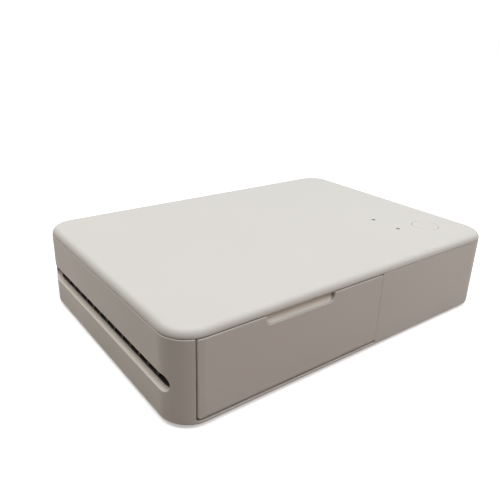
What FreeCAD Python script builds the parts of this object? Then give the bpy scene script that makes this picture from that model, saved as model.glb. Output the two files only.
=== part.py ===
import FreeCAD, Part
import math
import os

# Compact photo printer, in millimetres.
# The paper slot faces -Y, the ink cassette door faces +X and the top cover is at +Z.
# The origin is the centre of the footprint at the height of the table.

# Casing
width = 102.0
depth = 144.0
shell_height = 31.2
foot_height = 0.5
plinth_height = 0.5
corner_radius = 9.9
top_roll = 2.6
bottom_round = 1.0
wall = 2.0
top_wall = 1.6
floor_wall = 1.6
seam_gap = 0.2
seam_chamfer = 0.25
base_inset = 4.6
fit_gap = 0.1
part_gap = 0.3
running_gap = 0.05
overrun = 3.0

half_width = width / 2
half_depth = depth / 2
base_z = foot_height
shell_low_z = base_z + plinth_height
top_z = base_z + shell_height
seam_z = top_z - top_roll
rim_z = seam_z - seam_gap
floor_z = base_z + floor_wall
roof_z = top_z - top_wall
front_wall_y = -half_depth + wall
rear_wall_y = half_depth - wall
side_wall_x = half_width - wall

# Feet and base screws
foot_radius = 3.5
foot_recess = 0.4
foot_inset_x = 14.0
foot_inset_y = 14.0
boss_radius = 2.5
boss_inset_x = 7.5
boss_inset_y = 12.0
boss_height = 6.9
boss_web = 1.0
screw_head_radius = 2.0
screw_head_height = 0.9
screw_shank_radius = 0.8
screw_length = 6.0
cross_long_share = 0.6
cross_short_share = 0.16

# Paper slot
slot_height = 5.3
slot_middle_height = 13.25
slot_end_inset = 5.4
slot_reach = 6.0
slot_middle_z = base_z + slot_middle_height
slot_bottom_z = slot_middle_z - slot_height / 2
slot_top_z = slot_middle_z + slot_height / 2
slot_half_length = half_width - slot_end_inset

# Top cover and its hinge
hinge_y = half_depth - top_roll
hinge_z = seam_z
barrel_end_inset = 3.0
groove_radius = top_roll + seam_gap
groove_end_gap = 0.3
knuckle_offset_x = 29.0
knuckle_length = 5.6
knuckle_radius = 1.7
knuckle_side_gap = 0.2
knuckle_stem_reach = 6.2
knuckle_stem_setback = 0.2
hinge_pin_radius = 0.75
hinge_pin_length = 12.0
lip_depth = 1.2
lip_width = 0.8
magnet_radius = 2.0
magnet_height = 1.5
magnet_offset_x = 38.0
magnet_setback = 5.6
magnet_boss_wall = 0.8
magnet_cap = 0.6
magnet_boss_drop = 1.5
keeper_radius = 2.4
keeper_height = 0.8
keeper_gap = 0.5
keeper_shelf = 2.0
keeper_shelf_margin = 0.4
magnet_y = -half_depth + magnet_setback
magnet_low_z = roof_z - magnet_cap - magnet_height
keeper_top_z = magnet_low_z - keeper_gap

# Power button, light pipes and their board, all carried by the top cover
button_inset_x = 18.4
button_inset_y = 17.3
button_radius = 5.8
button_gap = 0.15
button_travel = 0.5
button_edge = 0.25
button_flange_width = 1.0
button_flange_height = 0.5
button_flange_gap = 0.1
button_stem_radius = 1.5
button_stem_gap = 0.05
light_radius = 0.8
light_gap = 0.02
light_inset_y = 30.1
light_left_reach = 16.2
light_right_reach = 3.5
light_chip_size = 1.6
light_chip_height = 0.7
light_chip_gap = 0.1
board_drop = 2.9
board_thickness = 1.0
board_margin_left = 24.0
board_margin_right = 11.4
board_margin_front = 18.7
board_margin_rear = 8.0
board_corner = 1.0
board_boss_radius = 1.7
board_boss_inset = 2.4
switch_size = 5.2
switch_height = 1.0
small_head_radius = 1.4
small_head_height = 0.7
small_shank_radius = 0.6
small_screw_length = 3.4
button_x = half_width - button_inset_x
button_y = half_depth - button_inset_y
light_y = half_depth - light_inset_y
board_top_z = roof_z - board_drop
board_bottom_z = board_top_z - board_thickness

# Ink cassette door
door_front_setback = 7.0
door_length = 72.86
door_bottom_height = 2.0
door_top_gap = 0.4
door_thickness = 1.4
door_bead_radius = 1.8
door_corner_radius = 1.0
window_corner_radius = 0.5
door_front_gap = 0.4
door_rear_gap = 0.08
door_bottom_gap = 0.3
door_pin_radius = 0.5
door_pin_length = 1.0
door_lug_size = 1.6
notch_width = 27.2
notch_depth = 3.1
notch_corner = 2.0
door_bottom_z = base_z + door_bottom_height
door_top_z = seam_z - door_top_gap
door_axis_x = half_width - door_bead_radius
door_axis_z = door_bottom_z + door_bead_radius
door_front_y = -half_depth + door_front_setback
door_rear_y = door_front_y + door_length
door_middle_y = (door_front_y + door_rear_y) / 2
notch_z = door_top_z - notch_depth

# Paper path heights
path_drop = 0.85
path_z = slot_middle_z - path_drop
paper_gap = 0.2
stack_drop = 0.7
stack_top_z = path_z - stack_drop

# Chassis side plates
side_bay = 13.8
plate_thickness = 1.0
plate_front_setback = 9.6
plate_low_top = 20.5
plate_high_top = 25.9
plate_hump_top = 27.8
plate_hump_half = 4.0
chassis_inner_x = half_width - side_bay
chassis_outer_x = chassis_inner_x + plate_thickness
plate_front_y = -half_depth + plate_front_setback
flange_width = 2.9
flange_half_length = 4.0
flange_height = 1.0
flange_front_offset = 25.0
flange_rear_offset = 57.5

# Feed roller, pinch roller and platen roller
feed_setback = 14.0
feed_radius = 4.0
pinch_radius = 2.4
pinch_shaft_radius = 1.0
platen_radius = 4.0
platen_drop = 0.4
roller_shaft_radius = 1.5
roller_end_gap = 1.2
shaft_end_reach = 0.8
bush_radius = 2.6
bush_flange_radius = 3.3
bush_flange = 0.4
bush_fit_gap = 0.02
feed_y = -half_depth + feed_setback
feed_z = path_z - feed_radius
pinch_z = path_z + paper_gap + pinch_radius
platen_z = path_z - platen_drop - platen_radius

# Ink cassette
takeup_offset = 11.0
half_span = 18.0
spool_rise = 6.0
tube_radius = 5.7
tube_wall = 0.8
tube_slit_near = 1.0
tube_slit_far = 6.5
tube_slit_top = 3.0
cassette_end_gap = 0.6
cassette_end_plate = 1.2
cassette_grip_reach = 8.3
grip_rib_height = 0.8
grip_rib_width = 1.2
grip_rib_pitch = 3.0
grip_rib_count = 5
grip_rib_half_height = 4.0
spool_core_radius = 1.8
spool_journal_radius = 1.4
supply_roll_radius = 4.3
takeup_roll_radius = 3.2
spool_end_gap = 0.3
spool_flange = 1.0
spool_flange_radius = 4.5
film_thickness = 0.1
film_end_gap = 2.4
film_strip_half = 2.0
film_drop = 0.2
takeup_y = feed_y + takeup_offset
platen_y = takeup_y + half_span
supply_y = platen_y + half_span
spool_z = path_z + spool_rise
film_z = path_z - film_drop
cassette_inner_x = chassis_inner_x - cassette_end_gap - cassette_end_plate
cassette_outer_x = chassis_inner_x - cassette_end_gap
film_half_width = cassette_inner_x - film_end_gap
cassette_grip_x = chassis_outer_x + cassette_grip_reach

# Print head
head_pivot_offset = 10.0
head_pivot_rise = 7.3
head_arm_rise = 6.1
head_arm_thickness = 1.2
head_arm_side_gap = 0.7
head_arm_lead = 7.0
head_shaft_radius = 1.5
head_barrel_radius = 2.1
sink_half_width = 5.0
sink_end_gap = 2.4
sink_base = 2.4
sink_fin = 1.0
sink_fin_count = 5
strip_half_width = 2.0
strip_end_gap = 3.2
strip_height = 1.75
strip_film_gap = 0.05
head_pivot_y = supply_y + head_pivot_offset
head_pivot_z = spool_z + head_pivot_rise
head_arm_z = spool_z + head_arm_rise
strip_z = film_z + film_thickness + strip_film_gap
sink_z = strip_z + strip_height

# Pickup roller, paper stack, lift plate and tray
pickup_offset = 14.0
pickup_radius = 3.3
pickup_shaft_radius = 1.25
pickup_gap = 0.1
tyre_near = 6.0
tyre_width = 8.0
stack_side_gap = 1.2
stack_thickness = 3.0
stack_front_offset = 6.0
stack_rear_gap = 1.5
stack_overhang = 1.0
lift_thickness = 1.0
lift_side_gap = 0.1
lift_pivot_inset = 3.5
lift_pin_radius = 0.5
lift_pin_reach = 1.4
spring_radius = 3.0
spring_wire = 0.6
spring_offset = 9.0
tray_front_offset = 5.0
tray_wall = 1.2
tray_side_gap = 0.4
tray_floor = 1.0
tray_floor_drop = 1.9
tray_side_height = 7.7
tray_rear_gap = 0.2
tray_leg = 3.0
pickup_y = supply_y + pickup_offset
pickup_z = stack_top_z + pickup_gap + pickup_radius
stack_half_width = chassis_inner_x - stack_side_gap
stack_front_y = supply_y - stack_front_offset
stack_rear_y = rear_wall_y - stack_rear_gap
lift_top_z = stack_top_z - stack_thickness
lift_bottom_z = lift_top_z - lift_thickness
lift_pivot_y = rear_wall_y - lift_pivot_inset
lift_pivot_z = (lift_top_z + lift_bottom_z) / 2
lift_front_y = stack_front_y + stack_overhang
tray_front_y = pickup_y + tray_front_offset
tray_rear_y = rear_wall_y - tray_rear_gap
tray_inner_x = stack_half_width + tray_side_gap
tray_floor_top = lift_bottom_z - tray_floor_drop
tray_top_z = tray_floor_top + tray_side_height

# Paper guides
guide_front_gap = 0.6
guide_end_inset = 1.1
guide_thickness = 1.0
guide_slot_gap = 0.2
guide_rear_gap = 0.6
guide_rib = 1.0
guide_rib_pitch = 6.0
guide_rib_height = 1.1
guide_rib_margin = 2.6
guide_leg_width = 3.0
guide_leg_depth = 1.8
guide_leg_inset = 4.5
guide_leg_setback = 5.0
cheek_width = 1.3
cavity_gap = 0.2
inner_guide_top_drop = 0.7
inner_guide_gap = 1.2
infeed_guide_length = 6.8
bridge_thickness = 1.0
bridge_half_length = 3.0
bridge_gap = 1.6

# Gears, motors and their bracket on the left side
gear_module = 0.5
gear_width = 2.2
gear_gap = 0.5
gear_bore_gap = 0.05
tooth_share = 0.8
tip_shares = (1.0, 1.2)
pressure_angle = 20.0
pinion_teeth = 12
feed_teeth = 24
takeup_teeth = 18
takeup_idler_teeth = 20
idler_a_teeth = 24
idler_b_teeth = 26
pickup_teeth = 20
stud_radius = 1.0
stud_reach = 2.8
motor_shaft_radius = 0.75
coupling_hole_radius = 3.0
feed_motor_radius = 6.5
ribbon_motor_radius = 7.0
motor_flat_share = 0.8
motor_wall_gap = 0.2
bracket_gap = 0.3
bracket_thickness = 1.0
bracket_front_reach = 7.5
bracket_rear_reach = 7.5
bracket_top_rise = 7.1
bracket_hole_radius = 1.2
bracket_post_radius = 1.5
post_front_offset = 5.0
post_front_rise = 3.6
post_middle_offset = 9.0
post_middle_height = 2.9
post_rear_offset = 4.5
post_rear_height = 4.4
gear_inner_x = chassis_outer_x + gear_gap
gear_outer_x = gear_inner_x + gear_width
bracket_inner_x = gear_outer_x + bracket_gap
bracket_outer_x = bracket_inner_x + bracket_thickness

# Electronics and battery
main_board_side_gap = 6.2
main_board_half_width = chassis_inner_x - main_board_side_gap
main_board_lift = 0.8
main_board_thickness = 1.0
main_board_front_gap = 4.0
main_board_rear_gap = 4.0
post_radius = 1.6
post_inset = 3.0
chip_height = 1.1
processor_size = 12.0
shield_length = 18.0
shield_width = 12.0
chip_margin = 6.0
connector_length = 14.0
connector_width = 3.0
capacitor_radius = 2.0
capacitor_pitch = 6.0
capacitor_count = 3
socket_inset = 11.5
socket_x = main_board_half_width - socket_inset
socket_width = 9.0
socket_height = 3.2
socket_length = 7.5
socket_wall = 0.3
socket_recess = 0.4
socket_opening_gap = 0.2
socket_tongue = 0.7
battery_wall_gap = 0.2
battery_chassis_gap = 0.2
battery_front_gap = 2.0
battery_rear_gap = 1.5
battery_height = 18.8
battery_edge = 1.5
battery_rear_y = half_depth - boss_inset_y - boss_radius - battery_rear_gap

# Frame behind the ink cassette door
bay_gap = 0.3
bay_panel = 1.6
bay_end_gap = 0.1
tunnel_gap = 0.3
tunnel_wall = 1.2
lintel_depth = 3.7
lintel_margin = 2.5
scoop_depth = 1.7
scoop_rise = 1.0
scoop_side_gap = 0.5


def vec(x, y, z):
    return FreeCAD.Vector(x, y, z)


def block(x0, x1, y0, y1, z0, z1):
    return Part.makeBox(x1 - x0, y1 - y0, z1 - z0, vec(x0, y0, z0))


def rod_x(radius, x0, x1, y, z):
    return Part.makeCylinder(radius, x1 - x0, vec(x0, y, z), vec(1, 0, 0))


def rod_y(radius, y0, y1, x, z):
    return Part.makeCylinder(radius, y1 - y0, vec(x, y0, z), vec(0, 1, 0))


def rod_z(radius, z0, z1, x, y):
    return Part.makeCylinder(radius, z1 - z0, vec(x, y, z0), vec(0, 0, 1))


def joined(shapes):
    return shapes[0].multiFuse(shapes[1:]).removeSplitter()


def extruded(points, direction):
    wire = Part.makePolygon(points + [points[0]])
    return Part.Face(wire).extrude(direction)


def yz_prism(outline, x0, x1):
    return extruded([vec(x0, y, z) for y, z in outline], vec(x1 - x0, 0, 0))


def rounded_outline(origin, u, v, size_u, size_v, radii):
    """A rectangle in the plane of u and v with a radius at each corner, anticlockwise from the origin."""
    corners = [(0, 0), (size_u, 0), (size_u, size_v), (0, size_v)]
    ways = [(1, 0), (0, 1), (-1, 0), (0, -1)]

    def place(a, b):
        return origin + u * a + v * b

    edges = []
    ends = []
    for index, (a, b) in enumerate(corners):
        radius = radii[index]
        way_in = ways[index - 1]
        way_out = ways[index]
        start = (a - way_in[0] * radius, b - way_in[1] * radius)
        end = (a + way_out[0] * radius, b + way_out[1] * radius)
        ends.append((start, end))
        if radius > 0:
            centre = (start[0] + way_out[0] * radius, start[1] + way_out[1] * radius)
            slant = radius * math.sqrt(0.5)
            middle = (centre[0] + (way_in[0] - way_out[0]) * slant, centre[1] + (way_in[1] - way_out[1]) * slant)
            edges.append((index, Part.Arc(place(*start), place(*middle), place(*end)).toShape()))
    lines = []
    for index in range(len(corners)):
        start = place(*ends[index][1])
        end = place(*ends[(index + 1) % len(corners)][0])
        arc = [edge for number, edge in edges if number == index]
        lines += arc + [Part.LineSegment(start, end).toShape()]
    return Part.Wire(lines)


def shell_prism(inset, z0, z1):
    """The outline of the casing, drawn in by an inset, between two heights."""
    radius = corner_radius - inset
    origin = vec(-half_width + inset, -half_depth + inset, z0)
    wire = rounded_outline(origin, vec(1, 0, 0), vec(0, 1, 0), width - 2 * inset, depth - 2 * inset, [radius] * 4)
    return Part.Face(wire).extrude(vec(0, 0, z1 - z0))


def side_prism(x0, x1, y0, y1, z0, z1, lower_radius):
    """A block along X whose two lower edges are rounded."""
    radii = [lower_radius, lower_radius, 0, 0]
    wire = rounded_outline(vec(x0, y0, z0), vec(0, 1, 0), vec(0, 0, 1), y1 - y0, z1 - z0, radii)
    return Part.Face(wire).extrude(vec(x1 - x0, 0, 0))


def stadium_y(half_length, height, y0, y1, z, x=0):
    """A bar along Y whose section is a slot with round ends."""
    radius = height / 2
    middle = block(x - half_length + radius, x + half_length - radius, y0, y1, z - radius, z + radius)
    ends = [rod_y(radius, y0, y1, x + side * (half_length - radius), z) for side in (-1, 1)]
    return joined([middle] + ends)


def edges_at(shape, test):
    return [edge for edge in shape.Edges if test(edge.BoundBox)]


def four_corners(x, y):
    return [(side_x * x, side_y * y) for side_x in (-1, 1) for side_y in (-1, 1)]


def span(a, b):
    return min(a, b), max(a, b)


def side_block(side, near, far, y0, y1, z0, z1):
    """A block between two distances from the middle plane, on one side of it."""
    x0, x1 = span(side * near, side * far)
    return block(x0, x1, y0, y1, z0, z1)


def screw_up(x, y, z, head_radius, head_height, shank_radius, length):
    """A screw driven upwards: z is the underside of its head, seen from below."""
    head = rod_z(head_radius, z, z + head_height, x, y)
    shank = rod_z(shank_radius, z + head_height, z + head_height + length, x, y)
    drive = cross_cut(x, y, z - overrun, z + head_height / 2, head_radius)
    return joined([head, shank]).cut(drive)


def screw_down(x, y, z, head_radius, head_height, shank_radius, length):
    """A screw driven downwards: z is the underside of its head."""
    head = rod_z(head_radius, z, z + head_height, x, y)
    shank = rod_z(shank_radius, z - length, z, x, y)
    drive = cross_cut(x, y, z + head_height / 2, z + head_height + overrun, head_radius)
    return joined([head, shank]).cut(drive)


def cross_cut(x, y, z0, z1, head_radius):
    long_half = head_radius * cross_long_share
    short_half = head_radius * cross_short_share
    first = block(x - long_half, x + long_half, y - short_half, y + short_half, z0, z1)
    second = block(x - short_half, x + short_half, y - long_half, y + long_half, z0, z1)
    return joined([first, second])


def pitch_radius(teeth):
    return teeth * gear_module / 2


def mesh_distance(first, second):
    return pitch_radius(first) + pitch_radius(second)


def mesh_phase(first, first_phase, first_centre, second, second_centre):
    """The phase that puts a gap of the second gear over a tooth of the first."""
    angle = math.atan2(second_centre[1] - first_centre[1], second_centre[0] - first_centre[0])
    return angle + math.pi - (first_phase - angle) * first / second + math.pi / second


def gear(teeth, phase, centre, bore_radius):
    """A spur gear in the drive layer, with straight flanks at the pressure angle."""
    pitch = pitch_radius(teeth)
    tip = pitch + gear_module * tip_shares[0]
    root = pitch - gear_module * tip_shares[1]
    half_tooth = math.pi * gear_module / 4 * tooth_share
    slope = math.tan(math.radians(pressure_angle))
    outline = []
    for tooth in range(teeth):
        middle = phase + tooth * 2 * math.pi / teeth
        for radius, side in ((root, -1), (tip, -1), (tip, 1), (root, 1)):
            half = (half_tooth + (pitch - radius) * slope) / radius
            angle = middle + side * half
            outline.append((centre[0] + radius * math.cos(angle), centre[1] + radius * math.sin(angle)))
    body = yz_prism(outline, -gear_outer_x, -gear_inner_x)
    return body.cut(rod_x(bore_radius, -gear_outer_x - overrun, -gear_inner_x + overrun, *centre))


feed_centre = (feed_y, feed_z)
feed_pinion_centre = (feed_y + mesh_distance(feed_teeth, pinion_teeth), feed_z)
takeup_centre = (takeup_y, spool_z)
takeup_idler_centre = (takeup_y + mesh_distance(takeup_teeth, takeup_idler_teeth), spool_z)
ribbon_pinion_centre = (takeup_idler_centre[0] + mesh_distance(takeup_idler_teeth, pinion_teeth), spool_z)
pickup_centre = (pickup_y, pickup_z)


def idler_places():
    """The first idler lies towards the pickup gear; the second meets it and the pickup gear from below."""
    reach_y = pickup_centre[0] - ribbon_pinion_centre[0]
    reach_z = pickup_centre[1] - ribbon_pinion_centre[1]
    reach = math.hypot(reach_y, reach_z)
    way = (reach_y / reach, reach_z / reach)
    first_reach = mesh_distance(pinion_teeth, idler_a_teeth)
    first = (ribbon_pinion_centre[0] + way[0] * first_reach, ribbon_pinion_centre[1] + way[1] * first_reach)
    left = reach - first_reach
    near = mesh_distance(idler_a_teeth, idler_b_teeth)
    far = mesh_distance(idler_b_teeth, pickup_teeth)
    along = (near ** 2 - far ** 2 + left ** 2) / (2 * left)
    aside = math.sqrt(near ** 2 - along ** 2)
    second = (first[0] + way[0] * along + way[1] * aside, first[1] + way[1] * along - way[0] * aside)
    return first, second


idler_a_centre, idler_b_centre = idler_places()


def body_shell():
    """The casing's walls, with a ledge at the bottom that the base plate sits in and stands proud of."""
    outer = shell_prism(0, shell_low_z, rim_z)
    outer = outer.makeFillet(bottom_round, edges_at(outer, lambda box: box.ZMax < floor_z))
    cavity = shell_prism(wall, floor_z, top_z + overrun)
    base_hole = shell_prism(base_inset - fit_gap, base_z - overrun, top_z)
    shell = outer.cut([cavity, base_hole])
    window_top = top_z + overrun
    window = side_prism(half_width - corner_radius, half_width + overrun, door_front_y - door_front_gap,
                        door_rear_y + door_rear_gap, door_bottom_z - door_bottom_gap, window_top,
                        window_corner_radius)
    slot = stadium_y(slot_half_length, slot_height, -half_depth - overrun, -half_depth + slot_reach, slot_middle_z)
    groove_half = half_width - barrel_end_inset + groove_end_gap
    groove = rod_x(groove_radius, -groove_half, groove_half, hinge_y, hinge_z)
    shell = shell.cut([window, slot, groove, socket_cutter()])
    shell = shell.cut(rim_chamfer())
    shell = joined([shell] + base_bosses() + hinge_knuckles() + keeper_shelves() + [door_lug()])
    bores = [rod_x(hinge_pin_radius + running_gap, side * knuckle_offset_x - knuckle_length,
                   side * knuckle_offset_x + knuckle_length, hinge_y, hinge_z) for side in (-1, 1)]
    bores.append(door_pin(running_gap))
    bores += [rod_z(screw_shank_radius + running_gap, base_z - overrun, floor_z + screw_length, x, y)
              for x, y in boss_places()]
    return shell.cut(bores)


def rim_chamfer():
    """A fine chamfer on the outer rim, along the front and the near corner as far as the door."""
    z0 = rim_z - wall
    outer = shell_prism(0, z0, rim_z)
    sharp = edges_at(outer, lambda box: box.ZMin > rim_z - seam_chamfer)
    rounded = outer.makeChamfer(seam_chamfer, sharp)
    return outer.cut(rounded).common(block(-half_width, half_width, -half_depth, door_front_y, z0, rim_z))


def boss_places():
    return four_corners(half_width - boss_inset_x, half_depth - boss_inset_y)


def base_bosses():
    made = []
    for x, y in boss_places():
        way = 1 if y > 0 else -1
        y0, y1 = span(y, way * (half_depth - wall / 2))
        made.append(rod_z(boss_radius, floor_z, floor_z + boss_height, x, y))
        made.append(block(x - boss_web / 2, x + boss_web / 2, y0, y1, floor_z, floor_z + boss_height))
    return made


def hinge_knuckles():
    made = []
    stem_front = hinge_y - knuckle_radius
    stem_rear = hinge_y - knuckle_stem_setback
    stem_foot = hinge_z - knuckle_stem_reach
    for side in (-1, 1):
        x0 = side * knuckle_offset_x - knuckle_length / 2
        x1 = side * knuckle_offset_x + knuckle_length / 2
        made.append(rod_x(knuckle_radius, x0, x1, hinge_y, hinge_z))
        made.append(block(x0, x1, stem_front, stem_rear, stem_foot, hinge_z))
        made.append(block(x0, x1, stem_front, rear_wall_y + wall / 2, stem_foot, hinge_z - groove_radius - seam_gap))
    return made


def keeper_shelves():
    top = keeper_top_z - keeper_height
    reach = keeper_radius + keeper_shelf_margin
    return [block(side * magnet_offset_x - reach, side * magnet_offset_x + reach, -half_depth + wall / 2,
                  magnet_y + reach, top - keeper_shelf, top) for side in (-1, 1)]


def door_lug():
    y0 = door_rear_y + door_rear_gap
    return block(door_axis_x - door_lug_size, door_axis_x + door_pin_radius, y0, y0 + door_pin_length + door_lug_size,
                 door_axis_z - door_lug_size, door_axis_z + door_lug_size)


def door_pin(gap):
    reach = door_pin_length + 2 * gap
    return rod_y(door_pin_radius + gap, door_front_y - reach, door_rear_y + reach, door_axis_x, door_axis_z)


def keeper_plates():
    low = keeper_top_z - keeper_height
    return [rod_z(keeper_radius, low, keeper_top_z, side * magnet_offset_x, magnet_y) for side in (-1, 1)]


def base_plate():
    plate = shell_prism(base_inset, base_z, floor_z)
    cuts = []
    for x, y in foot_places():
        cuts.append(rod_z(foot_radius + fit_gap, base_z - overrun, base_z + foot_recess, x, y))
    for x, y in boss_places():
        cuts.append(rod_z(screw_head_radius + fit_gap, base_z - overrun, base_z + fit_gap + screw_head_height, x, y))
        cuts.append(rod_z(screw_shank_radius + running_gap, base_z, floor_z + overrun, x, y))
    for x, y in flange_places():
        cuts.append(rod_z(small_shank_radius + running_gap, base_z + floor_wall / 2, floor_z + overrun, x, y))
    plate = plate.cut(cuts)
    posts = [rod_z(post_radius, floor_z, floor_z + main_board_lift, x, y) for x, y in board_post_places()]
    holes = [rod_z(small_shank_radius + running_gap, base_z + floor_wall / 2, floor_z + overrun, x, y)
             for x, y in board_post_places()]
    return joined([plate] + posts).cut(holes)


def foot_places():
    return four_corners(half_width - foot_inset_x, half_depth - foot_inset_y)


def rubber_feet():
    return [rod_z(foot_radius, 0, base_z + foot_recess, x, y) for x, y in foot_places()]


def base_screws():
    return [screw_up(x, y, base_z + fit_gap, screw_head_radius, screw_head_height, screw_shank_radius, screw_length)
            for x, y in boss_places()]


def top_cover():
    tall = shell_prism(0, seam_z - overrun, top_z)
    tall = tall.makeFillet(top_roll, edges_at(tall, lambda box: box.ZMin > seam_z))
    outer = tall.common(block(-half_width, half_width, -half_depth, half_depth, seam_z, top_z))
    cover = outer.cut(shell_prism(wall, seam_z - overrun, roof_z))
    barrel_half = half_width - barrel_end_inset
    lower_half = block(-barrel_half, barrel_half, hinge_y - top_roll, half_depth, seam_z - top_roll, seam_z)
    barrel = rod_x(top_roll, -barrel_half, barrel_half, hinge_y, hinge_z).common(lower_half)
    barrel = barrel.common(shell_prism(0, seam_z - overrun, top_z))
    spine = block(-barrel_half, barrel_half, hinge_y - top_roll, half_depth, seam_z, roof_z)
    spine = spine.common(shell_prism(wall / 2, seam_z, roof_z))
    lip = shell_prism(wall + seam_gap, seam_z - lip_depth, roof_z).cut(
        shell_prism(wall + seam_gap + lip_width, seam_z - overrun, roof_z))
    keep_clear = [block(-half_width, half_width, rear_wall_y - corner_radius, half_depth, base_z, roof_z),
                  block(side_wall_x - bay_panel - part_gap, half_width, door_front_y - overrun,
                        door_rear_y + overrun, base_z, roof_z)]
    lip = lip.cut(keep_clear)
    bosses = [rod_z(magnet_radius + magnet_boss_wall, roof_z - magnet_boss_drop, roof_z,
                    side * magnet_offset_x, magnet_y) for side in (-1, 1)]
    bosses += [rod_z(board_boss_radius, board_top_z, roof_z, x, y) for x, y in board_hole_places()]
    cover = joined([cover, barrel, spine, lip] + bosses)
    return cover.cut(hinge_windows() + cover_holes())


def hinge_windows():
    cuts = []
    for side in (-1, 1):
        middle = side * knuckle_offset_x
        half = knuckle_length / 2 + knuckle_side_gap
        cuts.append(rod_x(knuckle_radius + fit_gap, middle - half, middle + half, hinge_y, hinge_z))
        cuts.append(block(middle - half, middle + half, hinge_y - top_roll - overrun, half_depth + overrun,
                          hinge_z - top_roll - overrun, hinge_z))
        pin_half = hinge_pin_length / 2 + bush_fit_gap
        cuts.append(rod_x(hinge_pin_radius + bush_fit_gap, middle - pin_half, middle + pin_half, hinge_y, hinge_z))
    return cuts


def cover_holes():
    cuts = [rod_z(button_radius + button_gap, roof_z - overrun, top_z + overrun, button_x, button_y)]
    cuts += [rod_z(light_radius + light_gap, roof_z - overrun, top_z + overrun, x, light_y) for x in light_places()]
    cuts += [rod_z(magnet_radius + bush_fit_gap, magnet_low_z - overrun, magnet_low_z + magnet_height,
                   side * magnet_offset_x, magnet_y) for side in (-1, 1)]
    screw_top = board_bottom_z + small_screw_length + fit_gap
    cuts += [rod_z(small_shank_radius + running_gap, board_bottom_z, screw_top, x, y) for x, y in board_hole_places()]
    return cuts


def hinge_pins():
    half = hinge_pin_length / 2
    return [rod_x(hinge_pin_radius, side * knuckle_offset_x - half, side * knuckle_offset_x + half, hinge_y, hinge_z)
            for side in (-1, 1)]


def latch_magnets():
    top = magnet_low_z + magnet_height
    return [rod_z(magnet_radius, magnet_low_z, top, side * magnet_offset_x, magnet_y) for side in (-1, 1)]


def power_button():
    flange_top = roof_z - button_flange_gap
    flange_low = flange_top - button_flange_height
    cap = rod_z(button_radius, flange_low, top_z, button_x, button_y)
    cap = cap.makeChamfer(button_edge, edges_at(cap, lambda box: box.ZMin > roof_z))
    flange = rod_z(button_radius + button_flange_width, flange_low, flange_top, button_x, button_y)
    stem_low = board_top_z + switch_height + button_travel + button_stem_gap
    stem = rod_z(button_stem_radius, stem_low, flange_low, button_x, button_y)
    return joined([cap, flange, stem])


def light_places():
    return button_x - light_left_reach, button_x - light_right_reach


def light_pipes():
    low = board_top_z + light_chip_height + light_chip_gap
    return [rod_z(light_radius, low, top_z, x, light_y) for x in light_places()]


def board_limits():
    return (button_x - board_margin_left, button_x + board_margin_right,
            button_y - board_margin_front, button_y + board_margin_rear)


def board_hole_places():
    x0, x1, y0, y1 = board_limits()
    return [(x, y) for x in (x0 + board_boss_inset, x1 - board_boss_inset)
            for y in (y0 + board_boss_inset, y1 - board_boss_inset)]


def button_board():
    x0, x1, y0, y1 = board_limits()
    origin = vec(x0, y0, board_bottom_z)
    wire = rounded_outline(origin, vec(1, 0, 0), vec(0, 1, 0), x1 - x0, y1 - y0, [board_corner] * 4)
    board = Part.Face(wire).extrude(vec(0, 0, board_thickness))
    holes = [rod_z(small_shank_radius + running_gap, board_bottom_z - overrun, board_top_z + overrun, x, y)
             for x, y in board_hole_places()]
    return board.cut(holes)


def button_board_parts():
    half = switch_size / 2
    switch = block(button_x - half, button_x + half, button_y - half, button_y + half,
                   board_top_z, board_top_z + switch_height)
    chip = light_chip_size / 2
    chips = [block(x - chip, x + chip, light_y - chip, light_y + chip, board_top_z, board_top_z + light_chip_height)
             for x in light_places()]
    return [switch] + chips


def button_board_screws():
    z = board_bottom_z - small_head_height
    return [screw_up(x, y, z, small_head_radius, small_head_height, small_shank_radius, small_screw_length)
            for x, y in board_hole_places()]


def cassette_door():
    skin = shell_prism(0, door_axis_z, door_top_z).cut(shell_prism(door_thickness, door_bottom_z, top_z))
    bead = rod_y(door_bead_radius, door_front_y, door_rear_y, door_axis_x, door_axis_z)
    bead = bead.common(shell_prism(0, base_z, top_z))
    limits = side_prism(half_width - corner_radius, half_width + overrun, door_front_y, door_rear_y,
                        door_bottom_z, door_top_z, door_corner_radius)
    door = joined([skin.common(limits), bead.common(limits)])
    notch = side_prism(half_width - corner_radius, half_width + overrun, door_middle_y - notch_width / 2,
                       door_middle_y + notch_width / 2, notch_z, door_top_z + overrun, notch_corner)
    door = door.cut(notch)
    ends = [door_pin(0).common(block(0, half_width, door_front_y - overrun, door_front_y, base_z, top_z)),
            door_pin(0).common(block(0, half_width, door_rear_y, door_rear_y + overrun, base_z, top_z))]
    return joined([door] + ends)


def tunnel_limits():
    """The opening that the cassette slides through: y0, y1, z0, z1."""
    reach = tube_radius + tunnel_gap
    return takeup_y - reach, supply_y + reach, spool_z - reach, spool_z + reach


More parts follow.
